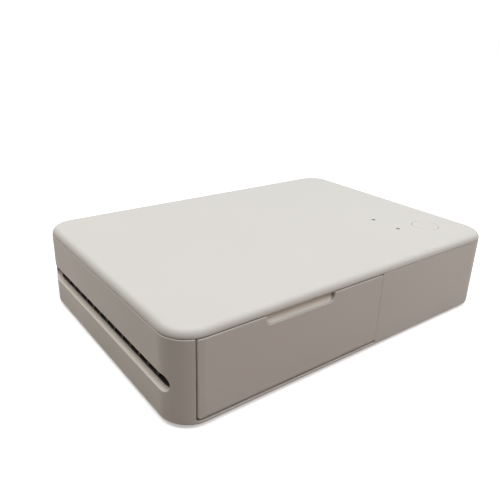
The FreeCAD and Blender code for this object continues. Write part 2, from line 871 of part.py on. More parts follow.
def bay_frame():
    y0, y1, z0, z1 = tunnel_limits()
    outer_inset = door_thickness + bay_gap
    panel_low = door_axis_z + door_bead_radius + bay_gap
    panel_top = seam_z - bay_gap
    panel = shell_prism(outer_inset, panel_low, panel_top).cut(shell_prism(outer_inset + bay_panel, base_z, top_z))
    panel = panel.common(block(half_width - corner_radius, half_width, door_front_y - bay_gap,
                               door_rear_y - bay_end_gap, panel_low, panel_top))
    face_x = half_width - outer_inset
    tunnel = block(chassis_outer_x, face_x, y0 - tunnel_wall, y1 + tunnel_wall, z0 - tunnel_wall, z1 + tunnel_wall)
    lintel_half = notch_width / 2 + lintel_margin
    lintel = block(face_x - lintel_depth, face_x, door_middle_y - lintel_half, door_middle_y + lintel_half,
                   z1, panel_top)
    opening = block(chassis_outer_x - overrun, face_x + overrun, y0, y1, z0, z1)
    frame = joined([panel, tunnel, lintel]).cut(opening)
    scoop_half = notch_width / 2 + scoop_side_gap
    back_x = face_x - scoop_depth
    profile = [(face_x, notch_z), (back_x, notch_z + scoop_rise), (back_x, top_z), (face_x + overrun, top_z),
               (face_x + overrun, notch_z)]
    scoop = extruded([vec(x, door_middle_y - scoop_half, z) for x, z in profile], vec(0, 2 * scoop_half, 0))
    return frame.cut(scoop)


def plate_outline():
    y0 = plate_front_y
    y1 = pickup_y + flange_width
    top = base_z + plate_high_top
    hump = head_pivot_y + plate_hump_half
    return [(y0, floor_z), (y1, floor_z), (y1, top - plate_hump_half), (hump, base_z + plate_hump_top),
            (head_pivot_y - plate_hump_half, base_z + plate_hump_top), (head_pivot_y - 2 * plate_hump_half, top),
            (takeup_y - tube_radius - plate_hump_half, top), (y0 + plate_hump_half, base_z + plate_low_top),
            (y0, base_z + plate_low_top)]


def flange_places():
    """Screw places on the flanges at the feet of the side plates."""
    x = chassis_outer_x + flange_width / 2
    return [(side * x, feed_y + offset) for side in (-1, 1) for offset in (flange_front_offset, flange_rear_offset)]


def chassis_plate(side):
    x0, x1 = span(side * chassis_inner_x, side * chassis_outer_x)
    plate = yz_prism(plate_outline(), x0, x1)
    flanges = []
    for x, y in flange_places():
        if x * side > 0:
            flanges.append(side_block(side, chassis_outer_x, chassis_outer_x + flange_width, y - flange_half_length,
                                      y + flange_half_length, floor_z, floor_z + flange_height))
    plate = joined([plate] + flanges)
    cuts = [rod_x(radius, x0 - overrun, x1 + overrun, y, z) for radius, y, z in plate_holes()]
    cuts += [rod_z(small_shank_radius + running_gap, floor_z - overrun, floor_z + overrun, x, y)
             for x, y in flange_places()]
    return plate.cut(cuts)


def bush_places():
    return [(roller_shaft_radius, feed_y, feed_z), (roller_shaft_radius, platen_y, platen_z),
            (pickup_shaft_radius, pickup_y, pickup_z)]


def plate_holes():
    holes = [(bush_radius + bush_fit_gap, y, z) for radius, y, z in bush_places()]
    holes.append((pinch_shaft_radius + running_gap, feed_y, pinch_z))
    holes.append((head_shaft_radius + bush_fit_gap, head_pivot_y, head_pivot_z))
    return holes


def chassis_left_plate():
    plate = chassis_plate(-1)
    cuts = [rod_x(coupling_hole_radius, -chassis_outer_x - overrun, -chassis_inner_x + overrun, *takeup_centre)]
    cuts += [rod_x(stud_radius + bush_fit_gap, -chassis_outer_x - overrun, -chassis_inner_x + overrun, *centre)
             for centre in stud_centres()]
    return plate.cut(cuts)


def chassis_right_plate():
    y0, y1, z0, z1 = tunnel_limits()
    return chassis_plate(1).cut(block(chassis_inner_x - overrun, chassis_outer_x + overrun, y0, y1, z0, z1))


def chassis_screws():
    z = floor_z + flange_height
    length = flange_height + floor_wall / 2 - fit_gap
    return [screw_down(x, y, z, small_head_radius, small_head_height, small_shank_radius, length)
            for x, y in flange_places()]


def inner_screws():
    """The small screws that hold the chassis and the main board to the base."""
    return chassis_screws() + main_board_screws()


def chassis_bridge():
    z = pinch_z + pinch_radius + bridge_gap
    return block(-chassis_inner_x, chassis_inner_x, feed_y - bridge_half_length, feed_y + bridge_half_length,
                 z, z + bridge_thickness)


def stud_centres():
    return [takeup_idler_centre, idler_a_centre, idler_b_centre]


def gear_studs():
    return [rod_x(stud_radius, -chassis_outer_x - stud_reach, -chassis_inner_x, *centre) for centre in stud_centres()]


def roller_bushes():
    made = []
    for radius, y, z in bush_places():
        for side in (-1, 1):
            flange_x = chassis_inner_x - bush_flange
            barrel = rod_x(bush_radius, *span(side * chassis_inner_x, side * chassis_outer_x), y, z)
            flange = rod_x(bush_flange_radius, *span(side * flange_x, side * chassis_inner_x), y, z)
            bore = rod_x(radius + running_gap, -half_width, half_width, y, z)
            made.append(joined([barrel, flange]).cut(bore))
    return made


def roller_shaft(radius, y, z, left_end):
    return rod_x(radius, -left_end, chassis_outer_x + shaft_end_reach, y, z)


def sleeve(outer, inner, half_length, y, z):
    bore = rod_x(inner + bush_fit_gap, -half_length - overrun, half_length + overrun, y, z)
    return rod_x(outer, -half_length, half_length, y, z).cut(bore)


def roller_half_length():
    return chassis_inner_x - roller_end_gap


def feed_roller():
    return sleeve(feed_radius, roller_shaft_radius, roller_half_length(), feed_y, feed_z)


def feed_shaft():
    return roller_shaft(roller_shaft_radius, feed_y, feed_z, gear_outer_x)


def pinch_roller():
    half = roller_half_length()
    barrel = rod_x(pinch_radius, -half, half, feed_y, pinch_z)
    shaft_half = chassis_outer_x + gear_gap
    return joined([barrel, rod_x(pinch_shaft_radius, -shaft_half, shaft_half, feed_y, pinch_z)])


def platen_roller():
    return sleeve(platen_radius, roller_shaft_radius, roller_half_length(), platen_y, platen_z)


def platen_shaft():
    return roller_shaft(roller_shaft_radius, platen_y, platen_z, chassis_outer_x + gear_gap)


def pickup_shaft():
    return roller_shaft(pickup_shaft_radius, pickup_y, pickup_z, gear_outer_x)


def pickup_tyres():
    made = []
    for side in (-1, 1):
        x0, x1 = span(side * tyre_near, side * (tyre_near + tyre_width))
        tyre = rod_x(pickup_radius, x0, x1, pickup_y, pickup_z)
        bore = rod_x(pickup_shaft_radius + bush_fit_gap, x0 - overrun, x1 + overrun, pickup_y, pickup_z)
        made.append(tyre.cut(bore))
    return made


def cassette_end(x0, x1):
    reach = tube_radius
    middle = block(x0, x1, takeup_y, supply_y, spool_z - reach, spool_z + reach)
    return joined([middle] + [rod_x(reach, x0, x1, y, spool_z) for y in (takeup_y, supply_y)])


def cassette_tube(y, way):
    """A spool housing, slit along the lower side that faces the print head."""
    inner = tube_radius - tube_wall
    tube = rod_x(tube_radius, -cassette_inner_x, cassette_inner_x, y, spool_z)
    hollow = rod_x(inner, -cassette_inner_x - overrun, cassette_inner_x + overrun, y, spool_z)
    y0, y1 = span(y + way * tube_slit_near, y + way * tube_slit_far)
    slit = block(-cassette_inner_x, cassette_inner_x, y0, y1, spool_z - tube_slit_far, spool_z - tube_slit_top)
    return tube.cut([hollow, slit])


def cassette_frame():
    left = cassette_end(-cassette_outer_x, -cassette_inner_x)
    right = cassette_end(cassette_inner_x, cassette_grip_x)
    frame = joined([left, right, cassette_tube(takeup_y, 1), cassette_tube(supply_y, -1)])
    holes = [rod_x(spool_journal_radius + running_gap, -half_width, cassette_outer_x, y, spool_z)
             for y in (takeup_y, supply_y)]
    frame = frame.cut(holes)
    ribs = []
    for number in range(grip_rib_count):
        y = platen_y + (number - (grip_rib_count - 1) / 2) * grip_rib_pitch
        ribs.append(block(cassette_grip_x, cassette_grip_x + grip_rib_height, y - grip_rib_width / 2,
                          y + grip_rib_width / 2, spool_z - grip_rib_half_height, spool_z + grip_rib_half_height))
    return joined([frame] + ribs)


def spool(y):
    half = cassette_inner_x - spool_end_gap
    core = rod_x(spool_core_radius, -half, half, y, spool_z)
    flanges = [rod_x(spool_flange_radius, *span(side * (half - spool_flange), side * half), y, spool_z)
               for side in (-1, 1)]
    journal_end = cassette_outer_x - fit_gap
    journal = rod_x(spool_journal_radius, -journal_end, journal_end, y, spool_z)
    return joined([core, journal] + flanges)


def film_roll(y, radius):
    return sleeve(radius, spool_core_radius, film_half_width, y, spool_z)


def takeup_spool():
    return spool(takeup_y)


def supply_spool():
    return spool(supply_y)


def takeup_film():
    return film_roll(takeup_y, takeup_roll_radius)


def supply_film():
    return film_roll(supply_y, supply_roll_radius)


def film_touch(y, way, radius):
    """Where the film leaves a roll, on the tangent from the end of the print head's strip."""
    reach_y = abs(y - platen_y) - film_strip_half
    reach_z = spool_z - film_z
    reach = math.hypot(reach_y, reach_z)
    clear = radius + film_thickness
    angle = math.atan2(reach_z, reach_y) - math.asin(clear / reach)
    run = math.sqrt(reach ** 2 - clear ** 2)
    return platen_y + way * (film_strip_half + run * math.cos(angle)), film_z + run * math.sin(angle)


def ink_film():
    front = film_touch(takeup_y, -1, takeup_roll_radius)
    rear = film_touch(supply_y, 1, supply_roll_radius)
    lower = [front, (platen_y - film_strip_half, film_z), (platen_y + film_strip_half, film_z), rear]
    upper = [(y, z + film_thickness) for y, z in reversed(lower)]
    return yz_prism(lower + upper, -film_half_width, film_half_width)


def head_arm():
    half = chassis_inner_x - head_arm_side_gap
    plate = block(-half, half, platen_y - head_arm_lead, head_pivot_y, head_arm_z, head_arm_z + head_arm_thickness)
    barrel = rod_x(head_barrel_radius, -half, half, head_pivot_y, head_pivot_z)
    bore = rod_x(head_shaft_radius + running_gap, -half_width, half_width, head_pivot_y, head_pivot_z)
    return joined([plate, barrel]).cut(bore)


def head_shaft():
    return rod_x(head_shaft_radius, -chassis_outer_x, chassis_outer_x, head_pivot_y, head_pivot_z)


def heat_sink():
    half = chassis_inner_x - sink_end_gap
    base = block(-half, half, platen_y - sink_half_width, platen_y + sink_half_width, sink_z, sink_z + sink_base)
    fins = []
    pitch = (2 * sink_half_width - sink_fin) / (sink_fin_count - 1)
    for number in range(sink_fin_count):
        y0 = platen_y - sink_half_width + number * pitch
        fins.append(block(-half, half, y0, y0 + sink_fin, sink_z, head_arm_z))
    return joined([base] + fins)


def print_head():
    half = chassis_inner_x - strip_end_gap
    return block(-half, half, platen_y - strip_half_width, platen_y + strip_half_width, strip_z, sink_z)


def paper_stack():
    return block(-stack_half_width, stack_half_width, stack_front_y, stack_rear_y, lift_top_z, stack_top_z)


def paper_lift_plate():
    half = stack_half_width - lift_side_gap
    plate = block(-half, half, lift_front_y, lift_pivot_y + lift_pin_radius, lift_bottom_z, lift_top_z)
    pins = [rod_x(lift_pin_radius, *span(side * half, side * (half + lift_pin_reach)), lift_pivot_y, lift_pivot_z)
            for side in (-1, 1)]
    return joined([plate] + pins)


def paper_tray():
    outer_x = tray_inner_x + tray_wall
    low = tray_floor_top - tray_floor
    floor = block(-outer_x, outer_x, tray_front_y, tray_rear_y, low, tray_floor_top)
    sides = [side_block(side, tray_inner_x, outer_x, tray_front_y, tray_rear_y, low, tray_top_z) for side in (-1, 1)]
    back = block(-outer_x, outer_x, tray_rear_y - tray_wall + tray_side_gap, tray_rear_y, low, tray_top_z)
    legs = []
    for side in (-1, 1):
        for y0 in (tray_front_y, tray_rear_y - tray_leg - tray_wall):
            legs.append(side_block(side, outer_x - tray_leg, outer_x, y0, y0 + tray_leg, floor_z, low))
    tray = joined([floor, back] + sides + legs)
    cuts = [rod_x(lift_pin_radius + running_gap, -half_width, half_width, lift_pivot_y, lift_pivot_z)]
    cuts.append(block(socket_x - socket_width / 2 - part_gap, socket_x + socket_width / 2 + part_gap,
                      rear_wall_y - socket_length, half_depth, floor_z, socket_z() + socket_height + part_gap))
    return tray.cut(cuts)


def lift_spring():
    """The closed outline of the coil that pushes the lift plate up."""
    y = lift_front_y + spring_offset
    coil = rod_z(spring_radius, floor_z, lift_bottom_z, 0, y)
    return coil.cut(rod_z(spring_radius - spring_wire, floor_z - overrun, lift_bottom_z + overrun, 0, y))


def cavity(shapes):
    """What lies inside the casing's walls, clear of them."""
    room = shell_prism(wall + cavity_gap, base_z, top_z)
    return [shape.common(room) for shape in shapes]


def guide_half():
    return slot_half_length - guide_end_inset


def guide_limits():
    return front_wall_y + guide_front_gap, feed_y - feed_radius - guide_rear_gap


def guide_ribs(z0, z1):
    """Ribs that the print slides over, so that its picture touches little."""
    y0, y1 = guide_limits()
    count = int((guide_half() - guide_rib_margin) / guide_rib_pitch)
    made = []
    for number in range(-count, count + 1):
        x = number * guide_rib_pitch
        made.append(block(x - guide_rib / 2, x + guide_rib / 2, y0, y1, z0, z1))
    return made


def feed_gear_room():
    reach = pitch_radius(feed_teeth) + 2 * gear_module
    return block(-bracket_inner_x - part_gap, -chassis_outer_x, feed_y - reach, feed_y, base_z, path_z + reach)


def exit_guide_lower():
    y0, y1 = guide_limits()
    top = slot_bottom_z - guide_slot_gap
    half = guide_half()
    plate = block(-half, half, y0, y1, top - guide_thickness, top)
    legs = []
    leg_y = -half_depth + guide_leg_setback
    for side in (-1, 1):
        legs.append(side_block(side, half - guide_leg_inset, half - guide_leg_inset + guide_leg_width, leg_y,
                               leg_y + guide_leg_depth, floor_z, top - guide_thickness))
    guide = joined(cavity([plate] + guide_ribs(top, slot_bottom_z + guide_rib_height)) + legs)
    return guide.cut(feed_gear_room())


def exit_guide_upper():
    y0, y1 = guide_limits()
    low = slot_top_z + guide_slot_gap
    half = guide_half()
    plate = block(-half, half, y0, y1, low, low + guide_thickness)
    cheeks = [side_block(side, half - cheek_width, half, y0, y1, slot_bottom_z - guide_slot_gap, low)
              for side in (-1, 1)]
    return joined(cavity([plate] + cheeks))


def inner_guide(y0, y1):
    top = path_z - inner_guide_top_drop
    return block(-chassis_inner_x, chassis_inner_x, y0, y1, top - guide_thickness, top)


def middle_guide():
    top_drop = path_z - inner_guide_top_drop
    feed_reach = math.sqrt(feed_radius ** 2 - (top_drop - guide_thickness - feed_z) ** 2)
    return inner_guide(feed_y + feed_reach + inner_guide_gap, platen_y - platen_radius + part_gap)


def infeed_guide():
    y0 = platen_y + platen_radius - part_gap
    return inner_guide(y0, y0 + infeed_guide_length)


def takeup_gear():
    wheel = gear(takeup_teeth, 0, takeup_centre, stud_radius)
    shaft = rod_x(spool_journal_radius, -gear_outer_x, -cassette_outer_x - fit_gap, *takeup_centre)
    return joined([wheel, shaft])


def train_phases():
    """The phases of the gears that the ribbon motor turns, each from the one before."""
    chain = [(takeup_teeth, takeup_centre), (takeup_idler_teeth, takeup_idler_centre),
             (pinion_teeth, ribbon_pinion_centre), (idler_a_teeth, idler_a_centre),
             (idler_b_teeth, idler_b_centre), (pickup_teeth, pickup_centre)]
    phases = [0]
    for before, after in zip(chain, chain[1:]):
        phases.append(mesh_phase(before[0], phases[-1], before[1], after[0], after[1]))
    return phases


def takeup_idler():
    return gear(takeup_idler_teeth, train_phases()[1], takeup_idler_centre, stud_radius + gear_bore_gap)


def driving_pinion(phase, centre):
    """A motor's pinion with the end of the motor's shaft in it."""
    wheel = gear(pinion_teeth, phase, centre, motor_shaft_radius / 2)
    return joined([wheel, rod_x(motor_shaft_radius, -bracket_outer_x + fit_gap, -gear_inner_x, *centre)])


def ribbon_pinion():
    return driving_pinion(train_phases()[2], ribbon_pinion_centre)


def pickup_idler_a():
    return gear(idler_a_teeth, train_phases()[3], idler_a_centre, stud_radius + gear_bore_gap)


def pickup_idler_b():
    return gear(idler_b_teeth, train_phases()[4], idler_b_centre, stud_radius + gear_bore_gap)


def pickup_gear():
    return gear(pickup_teeth, train_phases()[5], pickup_centre, pickup_shaft_radius + bush_fit_gap)


def feed_gear():
    return gear(feed_teeth, 0, feed_centre, roller_shaft_radius + bush_fit_gap)


def feed_pinion():
    phase = mesh_phase(feed_teeth, 0, feed_centre, pinion_teeth, feed_pinion_centre)
    return driving_pinion(phase, feed_pinion_centre)


def motor(radius, centre):
    """A motor can with two flats, between its bracket and the casing's wall."""
    far = side_wall_x - motor_wall_gap
    can = rod_x(radius, -far, -bracket_outer_x, *centre)
    flat = radius * motor_flat_share
    y, z = centre
    return can.common(block(-far, -bracket_outer_x, y - radius, y + radius, z - flat, z + flat))


def feed_motor():
    return motor(feed_motor_radius, feed_pinion_centre)


def ribbon_motor():
    return motor(ribbon_motor_radius, ribbon_pinion_centre)


def bracket_post_places():
    """Clear of the gears: before the pinion of the feed motor, behind it, and behind the other pinion."""
    return [(feed_pinion_centre[0] - post_front_offset, spool_z + post_front_rise),
            (feed_pinion_centre[0] + post_middle_offset, floor_z + post_middle_height),
            (ribbon_pinion_centre[0] + post_rear_offset, floor_z + post_rear_height)]


def motor_bracket():
    y0 = feed_pinion_centre[0] - bracket_front_reach
    y1 = ribbon_pinion_centre[0] + bracket_rear_reach
    plate = block(-bracket_outer_x, -bracket_inner_x, y0, y1, floor_z, spool_z + bracket_top_rise)
    holes = [rod_x(bracket_hole_radius, -half_width, 0, *centre)
             for centre in (feed_pinion_centre, ribbon_pinion_centre)]
    posts = [rod_x(bracket_post_radius, -bracket_inner_x, -chassis_outer_x, *place)
             for place in bracket_post_places()]
    return joined([plate.cut(holes)] + posts)


def main_board_limits():
    return (-main_board_half_width, main_board_half_width, tray_front_y + main_board_front_gap,
            rear_wall_y - main_board_rear_gap)


def main_board_z():
    return floor_z + main_board_lift


def board_post_places():
    x0, x1, y0, y1 = main_board_limits()
    return [(x, y) for x in (x0 + post_inset, x1 - post_inset) for y in (y0 + post_inset, y1 - post_inset)]


def main_board():
    x0, x1, y0, y1 = main_board_limits()
    z = main_board_z()
    board = block(x0, x1, y0, y1, z, z + main_board_thickness)
    holes = [rod_z(small_shank_radius + running_gap, z - overrun, z + overrun, x, y) for x, y in board_post_places()]
    return joined([board.cut(holes)] + board_parts())


def main_board_screws():
    z = main_board_z() + main_board_thickness
    length = main_board_lift + main_board_thickness + floor_wall / 2 - fit_gap
    return [screw_down(x, y, z, small_head_radius, small_head_height / 2, small_shank_radius, length)
            for x, y in board_post_places()]


def board_parts():
    x0, x1, y0, y1 = main_board_limits()
    z = main_board_z() + main_board_thickness
    top = z + chip_height
    processor_y = y0 + chip_margin
    made = [block(-processor_size / 2, processor_size / 2, processor_y, processor_y + processor_size, z, top)]
    shield_x = x0 + chip_margin
    made.append(block(shield_x, shield_x + shield_width, processor_y, processor_y + shield_length, z, top))
    connector_y = y1 - chip_margin - connector_width
    made.append(block(shield_x, shield_x + connector_length, connector_y, connector_y + connector_width, z, top))
    for number in range(capacitor_count):
        made.append(rod_z(capacitor_radius, z, top, x1 - chip_margin, processor_y + number * capacitor_pitch))
    return made


def socket_z():
    return main_board_z() + main_board_thickness


def socket_bar(grow, y0, y1):
    middle = socket_z() + socket_height / 2
    return stadium_y(socket_width / 2 + grow, socket_height + 2 * grow, y0, y1, middle, socket_x)


def socket_cutter():
    return socket_bar(socket_opening_gap, rear_wall_y - overrun, half_depth + overrun)


def usb_socket():
    y1 = half_depth - socket_recess
    y0 = y1 - socket_length
    shell = socket_bar(0, y0, y1).cut(socket_bar(-socket_wall, y0 + socket_wall, y1 + overrun))
    middle = socket_z() + socket_height / 2
    half = socket_width / 2 - 2 * socket_tongue
    tongue = block(socket_x - half, socket_x + half, y0, y1 - socket_tongue, middle - socket_tongue / 2,
                   middle + socket_tongue / 2)
    return joined([shell, tongue])


def battery_pack():
    x0 = -side_wall_x + battery_wall_gap
    x1 = -chassis_outer_x - battery_chassis_gap
    y0 = pickup_y + pitch_radius(pickup_teeth) + battery_front_gap
    pack = block(x0, x1, y0, battery_rear_y, floor_z, floor_z + battery_height)
    return pack.makeFillet(battery_edge, pack.Edges)


nodes = {
    "body_shell": body_shell,
    "base_plate": base_plate,
    "rubber_feet": rubber_feet,
    "base_screws": base_screws,
    "top_cover": top_cover,
    "hinge_pins": hinge_pins,
    "latch_magnets": latch_magnets,
    "keeper_plates": keeper_plates,
    "power_button": power_button,
    "light_pipes": light_pipes,
    "button_board": button_board,
    "button_board_parts": button_board_parts,
    "button_board_screws": button_board_screws,
    "cassette_door": cassette_door,
    "bay_frame": bay_frame,
    "chassis_left_plate": chassis_left_plate,
    "chassis_right_plate": chassis_right_plate,
    "inner_screws": inner_screws,
    "chassis_bridge": chassis_bridge,
    "gear_studs": gear_studs,
    "roller_bushes": roller_bushes,
    "feed_roller": feed_roller,
    "feed_shaft": feed_shaft,
    "feed_gear": feed_gear,
    "feed_pinion": feed_pinion,
    "feed_motor": feed_motor,
    "pinch_roller": pinch_roller,
    "platen_roller": platen_roller,
    "platen_shaft": platen_shaft,
    "pickup_shaft": pickup_shaft,
    "pickup_tyres": pickup_tyres,
    "pickup_gear": pickup_gear,
    "pickup_idler_a": pickup_idler_a,
    "pickup_idler_b": pickup_idler_b,
    "takeup_gear": takeup_gear,
    "takeup_idler": takeup_idler,
    "ribbon_pinion": ribbon_pinion,
    "ribbon_motor": ribbon_motor,
    "motor_bracket": motor_bracket,
    "cassette_frame": cassette_frame,
    "takeup_spool": takeup_spool,
    "takeup_film": takeup_film,
    "supply_spool": supply_spool,
    "supply_film": supply_film,
    "ink_film": ink_film,
    "head_arm": head_arm,
    "head_shaft": head_shaft,
    "heat_sink": heat_sink,
    "print_head": print_head,
    "paper_stack": paper_stack,
    "paper_lift_plate": paper_lift_plate,
    "lift_spring": lift_spring,
    "paper_tray": paper_tray,
    "exit_guide_lower": exit_guide_lower,
    "exit_guide_upper": exit_guide_upper,
    "middle_guide": middle_guide,
    "infeed_guide": infeed_guide,
    "main_board": main_board,
    "usb_socket": usb_socket,
    "battery_pack": battery_pack,
}


def main():
    os.makedirs("parts", exist_ok=True)
    for name, make in nodes.items():
        made = make()
        solids = made if isinstance(made, list) else [made]
        solids = [solid for shape in solids for solid in shape.Solids]
        shape = solids[0] if len(solids) == 1 else Part.makeCompound(solids)
        shape.exportStep("parts/" + name + ".step")
        box = shape.optimalBoundingBox()
        print(f"{name}: {len(solids)} solids, {shape.Volume:.1f} mm3, valid {shape.isValid()}, "
              f"x {box.XMin:.2f} {box.XMax:.2f}, y {box.YMin:.2f} {box.YMax:.2f}, z {box.ZMin:.2f} {box.ZMax:.2f}")


main()
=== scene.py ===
import math

import bmesh
import bpy
import numpy as np
from mathutils import Matrix, Vector
from mathutils.geometry import delaunay_2d_cdt


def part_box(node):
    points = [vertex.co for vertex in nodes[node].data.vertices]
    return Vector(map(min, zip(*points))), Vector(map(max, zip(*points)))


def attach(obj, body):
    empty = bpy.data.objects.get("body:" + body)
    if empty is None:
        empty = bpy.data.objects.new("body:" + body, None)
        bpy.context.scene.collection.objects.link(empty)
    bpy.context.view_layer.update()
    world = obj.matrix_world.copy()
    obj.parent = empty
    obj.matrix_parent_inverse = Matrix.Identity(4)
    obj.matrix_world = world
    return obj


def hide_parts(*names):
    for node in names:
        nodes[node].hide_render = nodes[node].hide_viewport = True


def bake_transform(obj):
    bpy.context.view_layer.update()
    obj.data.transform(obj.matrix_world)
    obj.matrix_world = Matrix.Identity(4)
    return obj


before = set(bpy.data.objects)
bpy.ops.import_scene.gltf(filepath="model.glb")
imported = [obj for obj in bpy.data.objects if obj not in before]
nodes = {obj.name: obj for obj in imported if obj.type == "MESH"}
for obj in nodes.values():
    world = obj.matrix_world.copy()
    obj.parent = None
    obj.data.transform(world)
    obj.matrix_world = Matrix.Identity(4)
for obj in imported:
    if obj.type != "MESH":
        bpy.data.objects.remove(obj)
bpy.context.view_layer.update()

# Compact photo printer: matte off-white casing, lid hinged at the rear, ink door on the right side.
# Lengths are in metres; mm turns the sizes below into metres.
mm = 0.001


# Nodes and materials

def wire(tree, node, inputs):
    # Links each input, or sets it where the value is plain; a colour gets its alpha
    for key, value in inputs.items():
        if isinstance(value, bpy.types.NodeSocket):
            tree.links.new(value, node.inputs[key])
        else:
            node.inputs[key].default_value = (*value, 1) if isinstance(value, tuple) else value


def addNode(tree, kind, inputs, **settings):
    made = tree.nodes.new("ShaderNode" + kind)
    for key, value in settings.items():
        setattr(made, key, value)
    wire(tree, made, inputs)
    return made.outputs


def mathOn(tree, operation, first, second, **settings):
    return addNode(tree, "Math", {0: first, 1: second}, operation=operation, **settings)[0]


def rangeBetween(tree, factor, low, high, start=0.3, end=0.7):
    ends = {"From Min": start, "From Max": end, "To Min": low, "To Max": high}
    return addNode(tree, "MapRange", {"Value": factor, **ends})["Result"]


def rampBetween(tree, factor, low, high, start=0.3, end=0.7):
    # A colour ramp from low to high between two values of the factor
    ramp = tree.nodes.new("ShaderNodeValToRGB")
    for stop, place, colour in zip(ramp.color_ramp.elements, (start, end), (low, high)):
        stop.position = place
        stop.color = (*colour, 1)
    wire(tree, ramp, {0: factor})
    return ramp.outputs[0]


def mixColours(tree, factor, first, second):
    return addNode(tree, "Mix", {"Factor": factor, "A": first, "B": second}, data_type="RGBA")["Result"]


def objectPlace(tree):
    return addNode(tree, "TexCoord", {})["Object"]


def trueNormal(tree):
    return addNode(tree, "NewGeometry", {})["Normal"]


def partsOf(tree, vector):
    return addNode(tree, "SeparateXYZ", {0: vector})


def noiseOn(tree, vector, scale, detail, roughness=0.5):
    inputs = {"Vector": vector, "Scale": scale, "Detail": detail, "Roughness": roughness}
    return addNode(tree, "TexNoise", inputs)["Fac"]


def bumpFrom(tree, height, distance, strength=1.0, radius=0.0):
    # Height to normal; with a radius, sharp edges are also rounded in the shading
    inputs = {"Height": height, "Distance": distance, "Strength": strength}
    if radius:
        inputs["Normal"] = addNode(tree, "Bevel", {"Radius": radius}, samples=4)["Normal"]
    return addNode(tree, "Bump", inputs)["Normal"]


def seenFactor(tree):
    # 1 for camera, glossy and transmission rays: the larger of the three flags
    path = addNode(tree, "LightPath", {})
    first = mathOn(tree, "MAXIMUM", path["Is Camera Ray"], path["Is Glossy Ray"])
    return mathOn(tree, "MAXIMUM", first, path["Is Transmission Ray"])


def surfaced(name, look, build):
    # A material whose builder gives its shader's inputs by name
    material = bpy.data.materials.new(name)
    material.use_nodes = True
    tree = material.node_tree
    for inputs in ({"Roughness": look["roughness"]}, build(tree, look)):
        wire(tree, tree.nodes["Principled BSDF"], inputs)
    return material


# Studio

sky = {
    "feltLevel": 0.05,                  # light from all round, as the surfaces get it
    "seenLevel": 1.0,                   # what the camera, metal and glass see: white
}

ground = {
    "tone": (0.23, 0.16, 0.11),         # warm light that the floor throws back on the sides
    "glow": 0.42,                       # for the camera alone, so that only the shadow is darker than white
    "roughness": 0.9,
    "half": 4.0,
}

# Energy, colour and size (degrees across for the sun); the sun shines straight down, panels face the part
lamps = {
    "overheadLamp": {"kind": "SUN", "energy": 2.26, "colour": (0.79, 0.93, 1.0), "size": 62.0},
    "frontPanel": {"kind": "AREA", "energy": 0.90, "colour": (1.0, 0.77, 0.60), "size": 0.35,
                   "place": (-0.13, -0.24, 0.50)},
    "rightPanel": {"kind": "AREA", "energy": 1.36, "colour": (1.0, 0.85, 0.82), "size": 0.35,
                   "place": (0.35, 0.17, 0.47)},
}

view = {
    "azimuth": 52.477, "elevation": 22.525, "roll": 1.82, "target": (-15.16 * mm, 1.775 * mm, 15.98 * mm),
    "distance": 227.98 * mm, "lens": 38.229, "sensorWidth": 36.0, "clipStart": 0.005,
}


def addLamp(name, look):
    lamp = bpy.data.lights.new(name, look["kind"])
    lamp.energy = look["energy"]
    lamp.color = look["colour"]
    holder = bpy.data.objects.new(name, lamp)
    bpy.context.scene.collection.objects.link(holder)
    if look["kind"] == "SUN":
        lamp.angle = math.radians(look["size"])
    else:
        lamp.size = look["size"]
        holder.location = look["place"]
        holder.rotation_euler = (-Vector(look["place"])).to_track_quat("-Z", "Y").to_euler()


def buildStudio():
    scene = bpy.context.scene
    scene.view_settings.view_transform = "Standard"
    scene.world = bpy.data.worlds.new("studioAir")
    scene.world.use_nodes = True
    tree = scene.world.node_tree
    tree.nodes.clear()
    felt, seen = (addNode(tree, "Background", {"Color": (1, 1, 1), "Strength": sky[level]})[0]
                  for level in ("feltLevel", "seenLevel"))
    addNode(tree, "OutputWorld", {0: addNode(tree, "MixShader", {0: seenFactor(tree), 1: felt, 2: seen})[0]})
    for name, look in lamps.items():
        addLamp(name, look)


def paleFloor(tree, look):
    # White to the camera, warm and darker to the light that bounces off it
    seen = seenFactor(tree)
    return {"Base Color": mixColours(tree, seen, look["tone"], (1, 1, 1)), "Specular IOR Level": 0.0,
            "Emission Color": (1, 1, 1),
            "Emission Strength": rangeBetween(tree, seen, 0.0, look["glow"], start=0.0, end=1.0)}


def buildFloor():
    half = ground["half"]
    mesh = bpy.data.meshes.new("floor")
    corners = [(-half, -half, 0), (half, -half, 0), (half, half, 0), (-half, half, 0)]
    mesh.from_pydata(corners, [], [(0, 1, 2, 3)])
    mesh.materials.append(surfaced("paleFloor", ground, paleFloor))
    floor = bpy.data.objects.new("floor", mesh)
    bpy.context.scene.collection.objects.link(floor)


def buildCamera():
    # The camera stands on a ray from the target, turned by azimuth and elevation, and rolls about it
    scene = bpy.context.scene
    a, e, r = (math.radians(view[key]) for key in ("azimuth", "elevation", "roll"))
    back = Vector((math.sin(a) * math.cos(e), -math.cos(a) * math.cos(e), math.sin(e)))
    right = Vector((math.cos(a), math.sin(a), 0))
    up = back.cross(right)
    rolledRight = right * math.cos(r) + up * math.sin(r)
    rolledUp = up * math.cos(r) - right * math.sin(r)
    lens = bpy.data.cameras.new("photoCamera")
    lens.sensor_fit = "HORIZONTAL"
    lens.sensor_width = view["sensorWidth"]
    lens.lens = view["lens"]
    lens.clip_start = view["clipStart"]
    camera = bpy.data.objects.new("photoCamera", lens)
    scene.collection.objects.link(camera)
    turned = Matrix((rolledRight, rolledUp, back)).transposed().to_4x4()
    camera.matrix_world = Matrix.Translation(Vector(view["target"]) + back * view["distance"]) @ turned
    scene.camera = camera


buildStudio()
buildFloor()
buildCamera()
print("studio and camera ready")


# Shared effects

